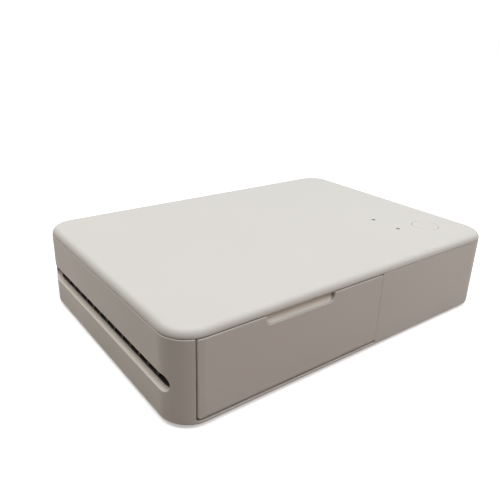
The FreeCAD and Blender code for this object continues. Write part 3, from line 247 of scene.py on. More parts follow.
def newGroup(name, inputs, build):
    # The builder gets the inputs' sockets and gives the outputs by name
    group = bpy.data.node_groups.new(name, "ShaderNodeTree")
    for label, value in inputs.items():
        group.interface.new_socket(label, in_out="INPUT", socket_type="NodeSocketFloat").default_value = value
    outputs = build(group, group.nodes.new("NodeGroupInput").outputs)
    for label in outputs:
        group.interface.new_socket(label, in_out="OUTPUT", socket_type="NodeSocketFloat")
    wire(group, group.nodes.new("NodeGroupOutput"), outputs)
    return group


def mouldedGrain(group, given):
    # Spark-eroded mould texture: fine noise for the height, broad soft noise for patches of gloss
    place = objectPlace(group)
    return {"Height": noiseOn(group, place, given["Grain Scale"], detail=2.0, roughness=0.6),
            "Patch": noiseOn(group, place, given["Patch Scale"], detail=3.0)}


def paintedEdgeHighlight(group, given):
    # Painted highlight where the surface turns sharply: one less the cosine between the rounded and the true
    # normal
    rounded = addNode(group, "Bevel", {"Radius": given["Radius"]}, samples=4)["Normal"]
    cosine = addNode(group, "VectorMath", {0: rounded, 1: trueNormal(group)}, operation="DOT_PRODUCT")["Value"]
    turned = mathOn(group, "SUBTRACT", 1.0, cosine)
    return {"Edge": mathOn(group, "MULTIPLY", turned, given["Gain"], use_clamp=True)}


def drawnLines(group, given):
    # Rolled or turned metal: noise on coordinates that are stretched along X
    place = objectPlace(group)
    parts = partsOf(group, place)
    shorter = mathOn(group, "MULTIPLY", parts["X"], given["Stretch"])
    joined = addNode(group, "CombineXYZ", {"X": shorter, "Y": parts["Y"], "Z": parts["Z"]})[0]
    return {"Height": noiseOn(group, joined, given["Line Scale"], detail=2.0),
            "Streak": noiseOn(group, place, scale=60.0, detail=2.0)}


effects = {
    "grain": newGroup("mouldedGrain", {"Grain Scale": 2600.0, "Patch Scale": 35.0}, mouldedGrain),
    # The edge group masks sharp edges for a painted highlight
    "edge": newGroup("paintedEdgeHighlight", {"Radius": 0.3 * mm, "Gain": 3.0}, paintedEdgeHighlight),
    "lines": newGroup("drawnLines", {"Line Scale": 2500.0, "Stretch": 0.02}, drawnLines),
}


def placeGroup(tree, effect, values):
    return addNode(tree, "Group", values, node_tree=effects[effect])


# Masks for painted light. Where a mask starts and is full: cosines for the two directions, and the soft ends of
# a band of heights
masks = {"frontStart": -0.6, "frontFull": -0.95, "upStart": 0.05, "upFull": 0.5, "soft": 0.1 * mm}


def facingFront(tree):
    # 1 where the surface faces the front, along -Y: the mask for the painted light on the guides' front faces
    facing = partsOf(tree, trueNormal(tree))["Y"]
    return rangeBetween(tree, facing, 0.0, 1.0, masks["frontStart"], masks["frontFull"])


def upwardBetween(tree, low, high):
    # 1 where the surface faces upwards between two heights, 0 on upright walls: the mask for the painted light
    # on the slot's lip
    mask = rangeBetween(tree, partsOf(tree, trueNormal(tree))["Z"], 0.0, 1.0, masks["upStart"], masks["upFull"])
    height = partsOf(tree, objectPlace(tree))["Z"]
    for start, end in ((low, low + masks["soft"]), (high, high - masks["soft"])):
        mask = mathOn(tree, "MULTIPLY", mask, rangeBetween(tree, height, 0.0, 1.0, start, end))
    return mask


def shade(colour, share):
    return tuple(channel * share for channel in colour)


# Finishes

shellLook = {
    # The edge colour is a painted highlight along sharp edges, lighter than the plastic
    "colour": (0.618, 0.596, 0.560), "edgeHighlightColour": (0.66, 0.64, 0.60), "drift": 0.02, "roughness": 0.52,
    "roughSpread": 0.04, "specular": 0.4, "grainScale": 2600.0, "depth": 0.004 * mm, "patchScale": 30.0,
    "edgeRadius": 0.25 * mm, "edgeGain": 1.2, "rounding": 0.0,
}

plastics = {
    "shellPlastic": shellLook,
    # Painted light: the slot's upward-facing lower lip is painted lighter, as if lit from the front
    "slotShell": dict(shellLook, lipLitColour=(0.90, 0.86, 0.80), lipLow=10.3 * mm, lipHigh=14.2 * mm),
    "basePlastic": dict(shellLook, colour=(0.50, 0.485, 0.455), edgeHighlightColour=(0.57, 0.555, 0.52), roughness=0.6,
                        rounding=0.15 * mm),
    "bayPlastic": dict(shellLook, colour=(0.60, 0.578, 0.54), roughness=0.55, rounding=0.15 * mm),
    # Painted light: a lighter copy of the bay plastic for the finger scoop, standing in for light in the shaded
    # cove
    "litScoopPlastic": dict(shellLook, colour=(0.78, 0.765, 0.70), edgeHighlightColour=(0.82, 0.80, 0.74)),
    "innerPlastic": dict(shellLook, colour=(0.20, 0.20, 0.205), edgeHighlightColour=(0.30, 0.30, 0.31), roughness=0.5,
                         grainScale=1800.0, depth=0.006 * mm, rounding=0.15 * mm),
    # Painted light: the guides' faces turned to the front are painted lighter, as if lit
    "guidePlastic": dict(shellLook, colour=(0.07, 0.068, 0.066), edgeHighlightColour=(0.2, 0.195, 0.19),
                         frontLitColour=(0.30, 0.285, 0.265), roughness=0.45, rounding=0.12 * mm),
    "footRubber": dict(shellLook, colour=(0.16, 0.157, 0.152), edgeHighlightColour=(0.24, 0.235, 0.23), roughness=0.85,
                       specular=0.2, grainScale=1500.0, depth=0.01 * mm),
    "rollerRubber": dict(shellLook, colour=(0.045, 0.045, 0.047), edgeHighlightColour=(0.09, 0.09, 0.092), roughness=0.8,
                         specular=0.25, grainScale=1200.0, depth=0.012 * mm, rounding=0.15 * mm),
    "gearPlastic": dict(shellLook, colour=(0.56, 0.545, 0.50), edgeHighlightColour=(0.62, 0.605, 0.56), roughness=0.38,
                        depth=0.001 * mm, rounding=0.06 * mm),
    "cassettePlastic": dict(shellLook, colour=(0.055, 0.058, 0.066), edgeHighlightColour=(0.13, 0.135, 0.15),
                            roughness=0.34, depth=0.002 * mm, rounding=0.15 * mm),
    "batteryWrap": dict(shellLook, colour=(0.045, 0.07, 0.13), edgeHighlightColour=(0.10, 0.13, 0.2), roughness=0.3,
                        grainScale=500.0, depth=0.01 * mm, rounding=0.4 * mm),
    "boardParts": dict(shellLook, colour=(0.022, 0.022, 0.024), edgeHighlightColour=(0.07, 0.07, 0.072), roughness=0.5,
                       rounding=0.08 * mm),
}

metalLook = {"lineScale": 2500.0, "stretch": 0.02, "depth": 0.004 * mm, "strength": 0.6, "rounding": 0.12 * mm,
             "streakShade": 0.86, "smoother": 0.06, "rougher": 0.08}

metals = {
    "screwSteel": dict(metalLook, colour=(0.36, 0.36, 0.37), roughness=0.36),
    "shaftSteel": dict(metalLook, colour=(0.42, 0.42, 0.43), roughness=0.28, stretch=1.0, lineScale=1400.0),
    "magnetMetal": dict(metalLook, colour=(0.46, 0.45, 0.43), roughness=0.26),
    "chassisSteel": dict(metalLook, colour=(0.33, 0.335, 0.34), roughness=0.5, lineScale=1600.0),
    "pinionBrass": dict(metalLook, colour=(0.60, 0.42, 0.18), roughness=0.28),
    "motorMetal": dict(metalLook, colour=(0.44, 0.44, 0.45), roughness=0.32, lineScale=1800.0),
    "sinkAluminium": dict(metalLook, colour=(0.52, 0.525, 0.53), roughness=0.42, lineScale=2200.0),
}

glazes = {
    "smokedPipe": {"roughness": 0.25, "grainScale": 900.0, "patchScale": 400.0, "depth": 0.002 * mm,
                   "rounding": 0.0, "dark": (0.035, 0.036, 0.038), "light": (0.06, 0.061, 0.064)},
    "headCeramic": {"roughness": 0.18, "grainScale": 1500.0, "patchScale": 120.0, "depth": 0.002 * mm,
                    "rounding": 0.1 * mm, "dark": (0.20, 0.17, 0.14), "light": (0.27, 0.23, 0.19)},
}

board = {"roughness": 0.35, "trackScale": 420.0, "padScale": 300.0, "depth": 0.01 * mm,
         "mask": (0.012, 0.085, 0.038), "track": (0.02, 0.15, 0.065), "gold": (0.72, 0.52, 0.2)}

film = {"roughness": 0.16, "bandScale": 90.0, "depth": 0.02 * mm, "strength": 0.6,
        "dark": (0.06, 0.008, 0.03), "light": (0.13, 0.014, 0.055)}

paper = {"roughness": 0.3, "sheetScale": 1300.0, "distortion": 0.4, "depth": 0.01 * mm, "strength": 0.5,
         "dark": (0.62, 0.62, 0.61), "light": (0.72, 0.72, 0.71)}


def mouldedPlastic(tree, look):
    # Matte moulded plastic: fine grain, soft patches of tone and gloss, and a painted highlight along sharp
    # edges
    grain = placeGroup(tree, "grain", {"Grain Scale": look["grainScale"], "Patch Scale": look["patchScale"]})
    edge = placeGroup(tree, "edge", {"Radius": look["edgeRadius"], "Gain": look["edgeGain"]})
    colour = rampBetween(tree, grain["Patch"], shade(look["colour"], 1 - look["drift"]), look["colour"])
    # Painted highlight: sharp edges take the lighter edge colour
    colour = mixColours(tree, edge["Edge"], colour, look["edgeHighlightColour"])
    # Painted light on upward-facing surfaces between the lip's two heights
    if "lipLitColour" in look:
        lip = upwardBetween(tree, look["lipLow"], look["lipHigh"])
        colour = mixColours(tree, lip, colour, look["lipLitColour"])
    # Painted light on faces turned to the front
    if "frontLitColour" in look:
        colour = mixColours(tree, facingFront(tree), colour, look["frontLitColour"])
    rough, spread = look["roughness"], look["roughSpread"]
    return {"Base Color": colour, "Specular IOR Level": look["specular"],
            "Roughness": rangeBetween(tree, grain["Patch"], rough - spread, rough + spread),
            "Normal": bumpFrom(tree, grain["Height"], look["depth"], radius=look["rounding"])}


def workedMetal(tree, look):
    # Drawn or turned metal: fine lines in the height, streaks in colour and roughness
    lines = placeGroup(tree, "lines", {"Line Scale": look["lineScale"], "Stretch": look["stretch"]})
    low, high = look["roughness"] - look["smoother"], look["roughness"] + look["rougher"]
    dark = shade(look["colour"], look["streakShade"])
    return {"Base Color": rampBetween(tree, lines["Streak"], dark, look["colour"]), "Metallic": 1.0,
            "Roughness": rangeBetween(tree, lines["Height"], low, high),
            "Normal": bumpFrom(tree, lines["Height"], look["depth"], look["strength"], look["rounding"])}


def glazed(tree, look):
    # Smooth ends of the light pipes and the head's ceramic: faint patches of tone under the gloss
    grain = placeGroup(tree, "grain", {"Grain Scale": look["grainScale"], "Patch Scale": look["patchScale"]})
    return {"Base Color": rampBetween(tree, grain["Patch"], look["dark"], look["light"]),
            "Normal": bumpFrom(tree, grain["Height"], look["depth"], radius=look["rounding"])}


def printedBoard(tree, look):
    # Green solder mask over copper: tracks from a stepped cell pattern, gold pads from small round cells
    place = objectPlace(tree)
    tracks = addNode(tree, "TexVoronoi", {"Vector": place, "Scale": look["trackScale"]},
                     distance="MANHATTAN", feature="F2")["Distance"]
    pads = addNode(tree, "TexVoronoi", {"Vector": place, "Scale": look["padScale"]})["Distance"]
    dots = rangeBetween(tree, pads, 1.0, 0.0, start=0.10, end=0.13)
    green = rampBetween(tree, tracks, look["mask"], look["track"], start=0.55, end=0.62)
    return {"Base Color": mixColours(tree, dots, green, look["gold"]), "Metallic": dots,
            "Normal": bumpFrom(tree, tracks, look["depth"])}


def inkFilm(tree, look):
    # Ribbon film in long bands of dye, changing along the roll
    bands = noiseOn(tree, objectPlace(tree), look["bandScale"], detail=2.0)
    return {"Base Color": rampBetween(tree, bands, look["dark"], look["light"]),
            "Normal": bumpFrom(tree, bands, look["depth"], look["strength"])}


def photoPaper(tree, look):
    # Sheets of coated paper: smooth white faces, and fine lines between the sheets on the edges
    inputs = {"Vector": objectPlace(tree), "Scale": look["sheetScale"], "Distortion": look["distortion"]}
    sheets = addNode(tree, "TexWave", inputs, bands_direction="Z")["Fac"]
    return {"Base Color": rampBetween(tree, sheets, look["dark"], look["light"], start=0.1, end=0.5),
            "Normal": bumpFrom(tree, sheets, look["depth"], look["strength"])}


finishes = {}
for build, looks in ((mouldedPlastic, plastics), (workedMetal, metals), (glazed, glazes),
                     (printedBoard, {"printedBoard": board}), (inkFilm, {"inkFilm": film}),
                     (photoPaper, {"photoPaper": paper})):
    finishes.update({name: surfaced(name, look, build) for name, look in looks.items()})

wearing = {
    "shellPlastic": ["body_shell", "top_cover", "cassette_door", "power_button"],
    "basePlastic": ["base_plate"],
    "bayPlastic": ["bay_frame"],
    "innerPlastic": ["paper_tray", "middle_guide", "infeed_guide", "paper_lift_plate"],
    "guidePlastic": ["exit_guide_lower", "exit_guide_upper"],
    "footRubber": ["rubber_feet"],
    "rollerRubber": ["feed_roller", "platen_roller", "pickup_tyres"],
    "gearPlastic": ["feed_gear", "takeup_gear", "takeup_idler", "pickup_idler_a", "pickup_idler_b",
                    "pickup_gear", "roller_bushes"],
    "cassettePlastic": ["cassette_frame", "takeup_spool", "supply_spool"],
    "batteryWrap": ["battery_pack"],
    "boardParts": ["button_board_parts"],
    "screwSteel": ["base_screws", "inner_screws", "button_board_screws"],
    "shaftSteel": ["hinge_pins", "feed_shaft", "platen_shaft", "pickup_shaft", "head_shaft", "gear_studs",
                   "lift_spring", "pinch_roller", "keeper_plates"],
    "magnetMetal": ["latch_magnets"],
    "chassisSteel": ["chassis_left_plate", "chassis_right_plate", "chassis_bridge", "motor_bracket",
                     "head_arm"],
    "pinionBrass": ["feed_pinion", "ribbon_pinion"],
    "motorMetal": ["feed_motor", "ribbon_motor", "usb_socket"],
    "sinkAluminium": ["heat_sink"],
    "smokedPipe": ["light_pipes"],
    "printedBoard": ["main_board", "button_board"],
    "inkFilm": ["ink_film", "takeup_film", "supply_film"],
    "headCeramic": ["print_head"],
    "photoPaper": ["paper_stack"],
}

for finish, names in wearing.items():
    for name in names:
        nodes[name].data.materials.clear()
        nodes[name].data.materials.append(finishes[finish])
left = sorted(set(nodes) - {name for names in wearing.values() for name in names})
print("finishes given to", len(nodes) - len(left), "nodes; left plain:", left)


# Surfaces. An outline is a pair of arrays: points in a plane, anticlockwise, and their outward normals.
# A profile is an array of rows: how far inside the outline the row lies, and its height or depth.

meshing = {
    "merge": 0.001 * mm, "dissolve": 0.0005 * mm, "capError": 1e-6, "sharpAngle": 32.0, "faceWeight": 80,
    "longRun": 1.0 * mm,                # longest run between two points of a curved wall's edge
    "nearlyRound": 0.999,               # share of the half height that rounds the ends of a slot
}
hub = 0.02 * mm                         # radius at which a turned shape closes over its axis
fineSteps, smallSteps, rimSteps, edgeSteps, broadSteps = 2, 3, 4, 5, 8      # steps of a quarter circle


def bend(start, corner, end, steps):
    # Quarter ellipse about the point opposite the corner: centre + (start - centre) cos + (end - centre) sin
    start, corner, end = (np.asarray(point, float) for point in (start, corner, end))
    centre = start + end - corner
    turn = np.linspace(0, math.pi / 2, steps + 1)[:, None]
    return centre + (start - centre) * np.cos(turn) + (end - centre) * np.sin(turn)


def filletedOutline(corners, radii, steps):
    # Straight runs joined by tangent arcs: at each corner the normal turns evenly from run to run,
    # and a point of the arc is its centre plus radius times normal, or minus it where the corner turns inwards
    corners = np.asarray(corners, float)
    radii = np.broadcast_to(radii, len(corners)).astype(float)
    before = corners - np.roll(corners, 1, axis=0)
    before /= np.linalg.norm(before, axis=1)[:, None]
    after = np.roll(before, -1, axis=0)
    turn = np.arctan2(before[:, 0] * after[:, 1] - before[:, 1] * after[:, 0], (before * after).sum(1))
    side = np.sign(turn) * radii
    reach = radii * np.tan(np.abs(turn) / 2)
    firstNormal = np.stack([before[:, 1], -before[:, 0]], 1)
    centres = corners - before * reach[:, None] - firstNormal * side[:, None]
    start = np.arctan2(firstNormal[:, 1], firstNormal[:, 0])
    angles = start[:, None] + turn[:, None] * np.linspace(0, 1, steps + 1)
    normals = np.stack([np.cos(angles), np.sin(angles)], -1)
    points = centres[:, None] + normals * side[:, None, None]
    return points.reshape(-1, 2), normals.reshape(-1, 2)


def boxOutline(u0, u1, v0, v1, radii, steps):
    return filletedOutline([(u0, v0), (u1, v0), (u1, v1), (u0, v1)], radii, steps)


def circleOutline(radius, centre, steps):
    turn = np.linspace(0, 2 * math.pi, steps, endpoint=False)
    normals = np.stack([np.cos(turn), np.sin(turn)], 1)
    return np.asarray(centre) + normals * radius, normals


def divided(outline, longest):
    # The outline with its long runs cut into equal parts
    points, normals = outline
    length = np.linalg.norm(np.roll(points, -1, axis=0) - points, axis=1)
    parts = np.maximum(1, np.ceil(length / longest)).astype(int)
    index = np.repeat(np.arange(len(points)), parts)
    share = (np.arange(parts.sum()) - np.repeat(np.cumsum(parts) - parts, parts)) / parts[index]

    def between(values):
        return values[index] + (np.roll(values, -1, axis=0)[index] - values[index]) * share[:, None]

    leaning = between(normals)
    return between(points), leaning / np.linalg.norm(leaning, axis=1)[:, None]


def carried(outline, profile):
    # Row m, point n: the outline's point n less its normal times inset m, at height m
    points, normals = outline
    profile = np.asarray(profile, float)
    flat = points[None] - normals[None] * profile[:, None, :1]
    height = np.broadcast_to(profile[:, None, 1:], (*flat.shape[:2], 1))
    return np.concatenate([flat, height], -1)


def carriedApart(outline, chosen, profile, other):
    # One profile for the chosen points of the outline and another for the rest
    return np.where(chosen[None, :, None], carried(outline, profile), carried(outline, other))


def gridPart(rows, closedRows=False, capped=True):
    # A grid whose rows are closed loops, as vertices and faces; its ends are filled unless the rows close too
    count, length = rows.shape[:2]
    row = np.arange(count if closedRows else count - 1)[:, None]
    column = np.arange(length)[None]
    here, ahead, nextColumn = row * length, (row + 1) % count * length, (column + 1) % length
    corners = (here + column, here + nextColumn, ahead + nextColumn, ahead + column)
    faces = np.stack(corners, -1).reshape(-1, 4).tolist()
    if capped and not closedRows:
        faces.append(list(range(length))[::-1])
        faces.append(list(range((count - 1) * length, count * length)))
    return rows.reshape(-1, 3), faces


def insideLoop(points, loop):
    # Even-odd rule: counts the loop's edges that a ray along u from each point crosses
    ahead = np.roll(loop, -1, axis=0)
    u, v = points[:, :1], points[:, 1:]
    crossing = (loop[:, 1] > v) != (ahead[:, 1] > v)
    rise = np.where(ahead[:, 1] == loop[:, 1], 1.0, ahead[:, 1] - loop[:, 1])
    where = loop[:, 0] + (v - loop[:, 1]) / rise * (ahead[:, 0] - loop[:, 0])
    return (crossing & (u < where)).sum(1) % 2 == 1


def crossed(across, along):
    return np.stack(np.meshgrid(across, along), -1).reshape(-1, 2)


def keptInside(grid, loop, clear):
    # The points of a grid that lie inside a loop and clear of its own points
    far = np.linalg.norm(grid[:, None] - loop[None], axis=-1).min(1) > clear
    return grid[insideLoop(grid, loop) & far]


def filledCap(loops, extra, lift):
    # Delaunay triangles inside the first loop and outside the others, with extra points, lifted into space
    flat = np.concatenate([*loops, extra]) / mm
    edges = []
    start = 0
    for loop in loops:
        index = np.arange(len(loop))
        edges += np.stack([start + index, start + (index + 1) % len(loop)], 1).tolist()
        start += len(loop)
    points, _, triangles = delaunay_2d_cdt(flat.tolist(), edges, [], 0, meshing["capError"])[:3]
    points, triangles = np.array(points) * mm, np.array(triangles)
    middle = points[triangles].mean(1)
    kept = insideLoop(middle, loops[0])
    for hole in loops[1:]:
        kept &= ~insideLoop(middle, hole)
    return lift(points), triangles[kept].tolist()


def newShape(name, parts):
    # Joins parts into one mesh, closes their seams and poles, and points its faces outwards
    vertices, faces, start = [], [], 0
    for points, found in parts:
        vertices.append(points)
        faces += [[start + corner for corner in face] for face in found]
        start += len(points)
    mesh = bpy.data.meshes.new(name)
    mesh.from_pydata(np.concatenate(vertices).tolist(), [], faces)
    built = bmesh.new()
    built.from_mesh(mesh)
    bmesh.ops.remove_doubles(built, verts=built.verts, dist=meshing["merge"])
    bmesh.ops.dissolve_degenerate(built, edges=built.edges, dist=meshing["dissolve"])
    bmesh.ops.recalc_face_normals(built, faces=built.faces)
    built.to_mesh(mesh)
    built.free()
    shape = bpy.data.objects.new(name, mesh)
    bpy.context.scene.collection.objects.link(shape)
    return shape


def combined(shape, operation, others):
    # Exact cut or union with other closed shapes, which are used up
    for other in others:
        step = shape.modifiers.new("combine", "BOOLEAN")
        step.operation = operation
        step.solver = "EXACT"
        step.object = other
    bpy.context.view_layer.update()
    made = bpy.data.meshes.new_from_object(shape.evaluated_get(bpy.context.evaluated_depsgraph_get()))
    made.name = shape.name
    shape.modifiers.clear()
    shape.data = made
    for other in others:
        bpy.data.objects.remove(other)
    return shape


def openEdges(mesh):
    built = bmesh.new()
    built.from_mesh(mesh)
    count = sum(1 for edge in built.edges if not edge.is_manifold)
    built.free()
    return count


def finished(shape, finish, body, slot, *replaced):
    mesh = shape.data
    mesh.materials.clear()
    mesh.materials.append(finishes[finish])
    mesh.shade_smooth()
    mesh.set_sharp_from_angle(angle=math.radians(meshing["sharpAngle"]))
    even = shape.modifiers.new("evenShading", "WEIGHTED_NORMAL")
    even.keep_sharp = True
    even.weight = meshing["faceWeight"]
    if body:
        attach(shape, body)
    if replaced:
        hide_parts(*replaced)
    print(shape.name, "faces", len(mesh.polygons), "open edges", openEdges(mesh))
    return shape


# The casing's own sizes, shared by the pieces below

casing = {
    "cornerRadius": 9.9 * mm, "cornerSteps": 24, "roll": 2.6 * mm, "rollSteps": 14, "wall": 2.0 * mm,
    "topWall": 1.6 * mm, "seamGap": 0.2 * mm,
    "fine": 0.1 * mm,                   # smallest round
    "lap": 0.3 * mm,                    # how far a joined form reaches into its neighbour
    "overrun": 3.0 * mm, "blockOverrun": 5.0 * mm,      # how far cutters reach past what they cut
}
wall, fine, lap = casing["wall"], casing["fine"], casing["lap"]
shellLow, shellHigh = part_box("body_shell")
halfX, halfY = shellHigh.x, shellHigh.y
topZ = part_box("top_cover")[1].z
seamZ = topZ - casing["roll"]
rimZ = seamZ - casing["seamGap"]
roofZ = topZ - casing["topWall"]
centreX, centreY = halfX - casing["cornerRadius"], halfY - casing["cornerRadius"]
hingeY, hingeZ = halfY - casing["roll"], seamZ


def caseOutline():
    return boxOutline(-halfX, halfX, -halfY, halfY, casing["cornerRadius"], casing["cornerSteps"])


def reachAt(along, centre, edge, inset=0.0):
    # How far the casing's outline stands out at a place along the other axis: flat, then a quarter circle
    radius = casing["cornerRadius"] - inset
    past = np.clip(np.abs(along) - centre, 0, radius)
    return edge - casing["cornerRadius"] + np.sqrt(radius ** 2 - past ** 2)


def sideX(y, inset=0.0):
    return reachAt(y, centreY, halfX, inset)


def frontY(x, inset=0.0):
    return reachAt(x, centreX, halfY, inset)


def asSide(rows):
    # Rows of (y, z, depth) to (x, y, z), the depth measured inwards from the right side
    y, z, depth = np.moveaxis(rows, -1, 0)
    return np.stack([sideX(y) - depth, y, z], -1)


def asFront(rows, way=-1):
    # Rows of (x, z, depth) to (x, y, z), the depth measured inwards from the front; way 1 is the rear
    x, z, depth = np.moveaxis(rows, -1, 0)
    return np.stack([x, way * (frontY(x) - depth), z], -1)


def flared(edge, depth):
    # A cutter's profile: wide above the surface, drawn in over a quarter circle to leave a rounded edge
    lead = [(-edge, -casing["overrun"])]
    return np.concatenate([lead, bend((-edge, 0), (0, 0), (0, edge), edgeSteps), [(0, depth)]])


def straightBar(name, outline, start, end, order=(2, 0, 1)):
    # A bar along X from an outline in (y, z), or along Y from one in (x, z) where the order is (0, 2, 1)
    rows = carried(outline, [(0, start), (0, end)])
    return newShape(name, [gridPart(rows[..., list(order)])])


def upright(name, outline, profile):
    return newShape(name, [gridPart(carried(outline, profile))])


def blockShape(name, low, high):
    outline = boxOutline(low[0], high[0], low[1], high[1], fine, fineSteps)
    return upright(name, outline, [(0, low[2]), (0, high[2])])


def hingeBar(name, radius, steps, start, end):
    return straightBar(name, circleOutline(radius, (hingeY, hingeZ), steps), start, end)


def fourPlaces(x0, x1, y0, y1):
    return [(x, y) for x in (x0, x1) for y in (y0, y1)]


# Body shell

shell = {
    "ledgeInset": 4.5 * mm, "ledgeTop": 2.1 * mm, "bottomRound": 1.0 * mm, "rimRound": 0.3 * mm,
    "windowY": (-65.4 * mm, 7.94 * mm), "windowLow": 2.2 * mm, "windowEdge": 0.1 * mm,
    "windowFrontRound": 0.85 * mm, "windowRound": 0.5 * mm, "windowSteps": 6,
    "slotMiddle": 13.75 * mm, "slotHeight": 5.3 * mm, "slotHalf": 45.6 * mm, "slotEdge": 0.3 * mm,
    "slotMouth": 1.0 * mm, "slotSteps": 16, "lipRise": 0.3 * mm,
    "socketGap": 0.2 * mm, "socketEdge": 0.25 * mm, "socketSteps": 12,
    "grooveRadius": 2.8 * mm, "grooveHalf": 48.3 * mm, "grooveSteps": 48,
    "knuckleX": 29.0 * mm, "knuckleLength": 5.6 * mm, "knuckleRadius": 1.7 * mm, "knuckleSteps": 32,
    "stemDrop": 6.2 * mm, "stemShare": 0.1,
    "bossInsetX": 7.5 * mm, "bossInsetY": 12.0 * mm, "bossRadius": 2.5 * mm, "bossTop": 9.0 * mm,
    "bossSteps": 32, "webWidth": 1.0 * mm,
    "shelfHalf": 2.8 * mm, "shelfHeight": 2.0 * mm, "shelfLap": 0.4 * mm,
}


def shellRing():
    # The wall's section carried round the outline: bottom round, wall, rim, inner wall and ledge
    low, foot, ledge, top = shellLow.z, shell["bottomRound"], shell["ledgeInset"], shell["ledgeTop"]

    def section(rim):
        return np.concatenate([
            bend((foot, low), (0, low), (0, low + foot), broadSteps),
            bend((0, rimZ - rim), (0, rimZ), (rim, rimZ), rimSteps),
            bend((wall - fine, rimZ), (wall, rimZ), (wall, rimZ - fine), fineSteps),
            [(wall, top), (ledge, top), (ledge, low)]])

    outline = caseOutline()
    front = outline[0][:, 1] < -centreY + fine
    rows = carriedApart(outline, front, section(shell["rimRound"]), section(fine))
    return newShape("bodyShell", [gridPart(rows, closedRows=True)])


def windowCutter():
    y0, y1 = shell["windowY"]
    radii = [shell["windowFrontRound"], shell["windowRound"], fine, fine]
    outline = boxOutline(y0, y1, shell["windowLow"], rimZ + casing["overrun"], radii, shell["windowSteps"])
    rows = carried(divided(outline, meshing["longRun"]), flared(shell["windowEdge"], casing["cornerRadius"]))
    return newShape("windowCutter", [gridPart(asSide(rows))])


def slotCutter():
    # A stadium whose lower side rises as it goes in, by rise times depth where the normal points down
    half, radius = shell["slotHalf"], shell["slotHeight"] / 2
    low, high = shell["slotMiddle"] - radius, shell["slotMiddle"] + radius
    outline = boxOutline(-half, half, low, high, radius * meshing["nearlyRound"], shell["slotSteps"])
    outline = divided(outline, meshing["longRun"])
    profile = np.concatenate([flared(shell["slotEdge"], shell["slotMouth"]), [(0, wall), (0, 2 * wall)]])
    rows = carried(outline, profile)
    down = np.clip(-outline[1][:, 1], 0, 1) ** 2
    rows[..., 1] += shell["lipRise"] / wall * np.clip(rows[..., 2], 0, wall) * down
    return newShape("slotCutter", [gridPart(asFront(rows))])


def socketCutter():
    low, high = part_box("usb_socket")
    gap = shell["socketGap"]
    radius = ((high.z - low.z) / 2 + gap) * meshing["nearlyRound"]
    outline = boxOutline(low.x - gap, high.x + gap, low.z - gap, high.z + gap, radius, shell["socketSteps"])
    rows = carried(outline, flared(shell["socketEdge"], 2 * wall))
    return newShape("socketCutter", [gridPart(asFront(rows, 1))])


def knuckleSpans(gap):
    half = shell["knuckleLength"] / 2 + gap
    return [(side * shell["knuckleX"] - half, side * shell["knuckleX"] + half) for side in (-1, 1)]


def hingeKnuckles():
    made = []
    radius, low = shell["knuckleRadius"], hingeZ - shell["stemDrop"]
    front, rear = hingeY - radius, hingeY - shell["stemShare"] * radius
    foot = hingeZ - shell["grooveRadius"] - casing["seamGap"]
    for x0, x1 in knuckleSpans(0):
        made += [hingeBar("knuckle", radius, shell["knuckleSteps"], x0, x1),
                 blockShape("stem", (x0, front, low), (x1, rear, hingeZ)),
                 blockShape("stemFoot", (x0, front, low), (x1, halfY - wall / 2, foot))]
    return made


def screwBosses():
    # A boss over each screw, and a web that ties it to the nearest end wall
    made = []
    low, half = shell["ledgeTop"], shell["webWidth"] / 2
    screwX, screwY = halfX - shell["bossInsetX"], halfY - shell["bossInsetY"]
    for x, y in fourPlaces(-screwX, screwX, -screwY, screwY):
        made.append(upright("boss", circleOutline(shell["bossRadius"], (x, y), shell["bossSteps"]),
                            [(0, low - fine), (0, shell["bossTop"])]))
        far = math.copysign(halfY - wall / 2, y)
        made.append(blockShape("web", (x - half, min(y, far), low), (x + half, max(y, far), shell["bossTop"])))
    return made


def keeperShelves():
    made = []
    low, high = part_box("keeper_plates")
    half, front, rear = shell["shelfHalf"], -halfY + wall / 2, high.y + shell["shelfLap"]
    for side in (-1, 1):
        middle = side * (high.x - (high.y - low.y) / 2)
        made.append(blockShape("shelf", (middle - half, front, low.z - shell["shelfHeight"]),
                               (middle + half, rear, low.z)))
    return made


def makeBodyShell():
    ring = shellRing()
    half = shell["grooveHalf"]
    groove = hingeBar("groove", shell["grooveRadius"], shell["grooveSteps"], -half, half)
    combined(ring, "DIFFERENCE", [windowCutter(), slotCutter(), socketCutter(), groove])
    combined(ring, "UNION", hingeKnuckles() + screwBosses() + keeperShelves())
    return finished(ring, "slotShell", "root", "shell_plastic", "body_shell")


makeBodyShell()
print("body shell ready")


# Ink door

door = {
    "thickness": 1.4 * mm, "bead": 1.8 * mm, "sweep": 2.05 * mm, "edge": 0.29 * mm, "rearEdge": 0.08 * mm,
    "edgeShare": 0.45,                  # the edge's round is at most this share of the thickness
    "frontRound": 1.5 * mm, "lowerRound": 1.0 * mm, "upperRound": 0.5 * mm,
    "notchWidth": 27.2 * mm, "notchDepth": 3.1 * mm, "notchRound": 2.0 * mm, "notchLip": 0.3 * mm,
    "pinRadius": 0.5 * mm, "pinLength": 1.0 * mm, "pinSteps": 20,
    "longRun": 0.6 * mm, "roundRows": 6, "rearBand": 0.05 * mm, "beadRows": 24, "beadStep": 0.02 * mm,
    "beadPitch": 0.8 * mm, "panelRows": 8, "frontColumns": 9, "panelColumns": 14, "clear": 0.15 * mm,
}
doorLow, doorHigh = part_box("cassette_door")
doorY0, doorY1 = doorLow.y + door["pinLength"], doorHigh.y - door["pinLength"]
doorMiddle, notchZ = (doorY0 + doorY1) / 2, doorHigh.z - door["notchDepth"]
beadX, beadZ = halfX - door["bead"], doorLow.z + door["bead"]
beadQuarter = door["bead"] * math.pi / 2


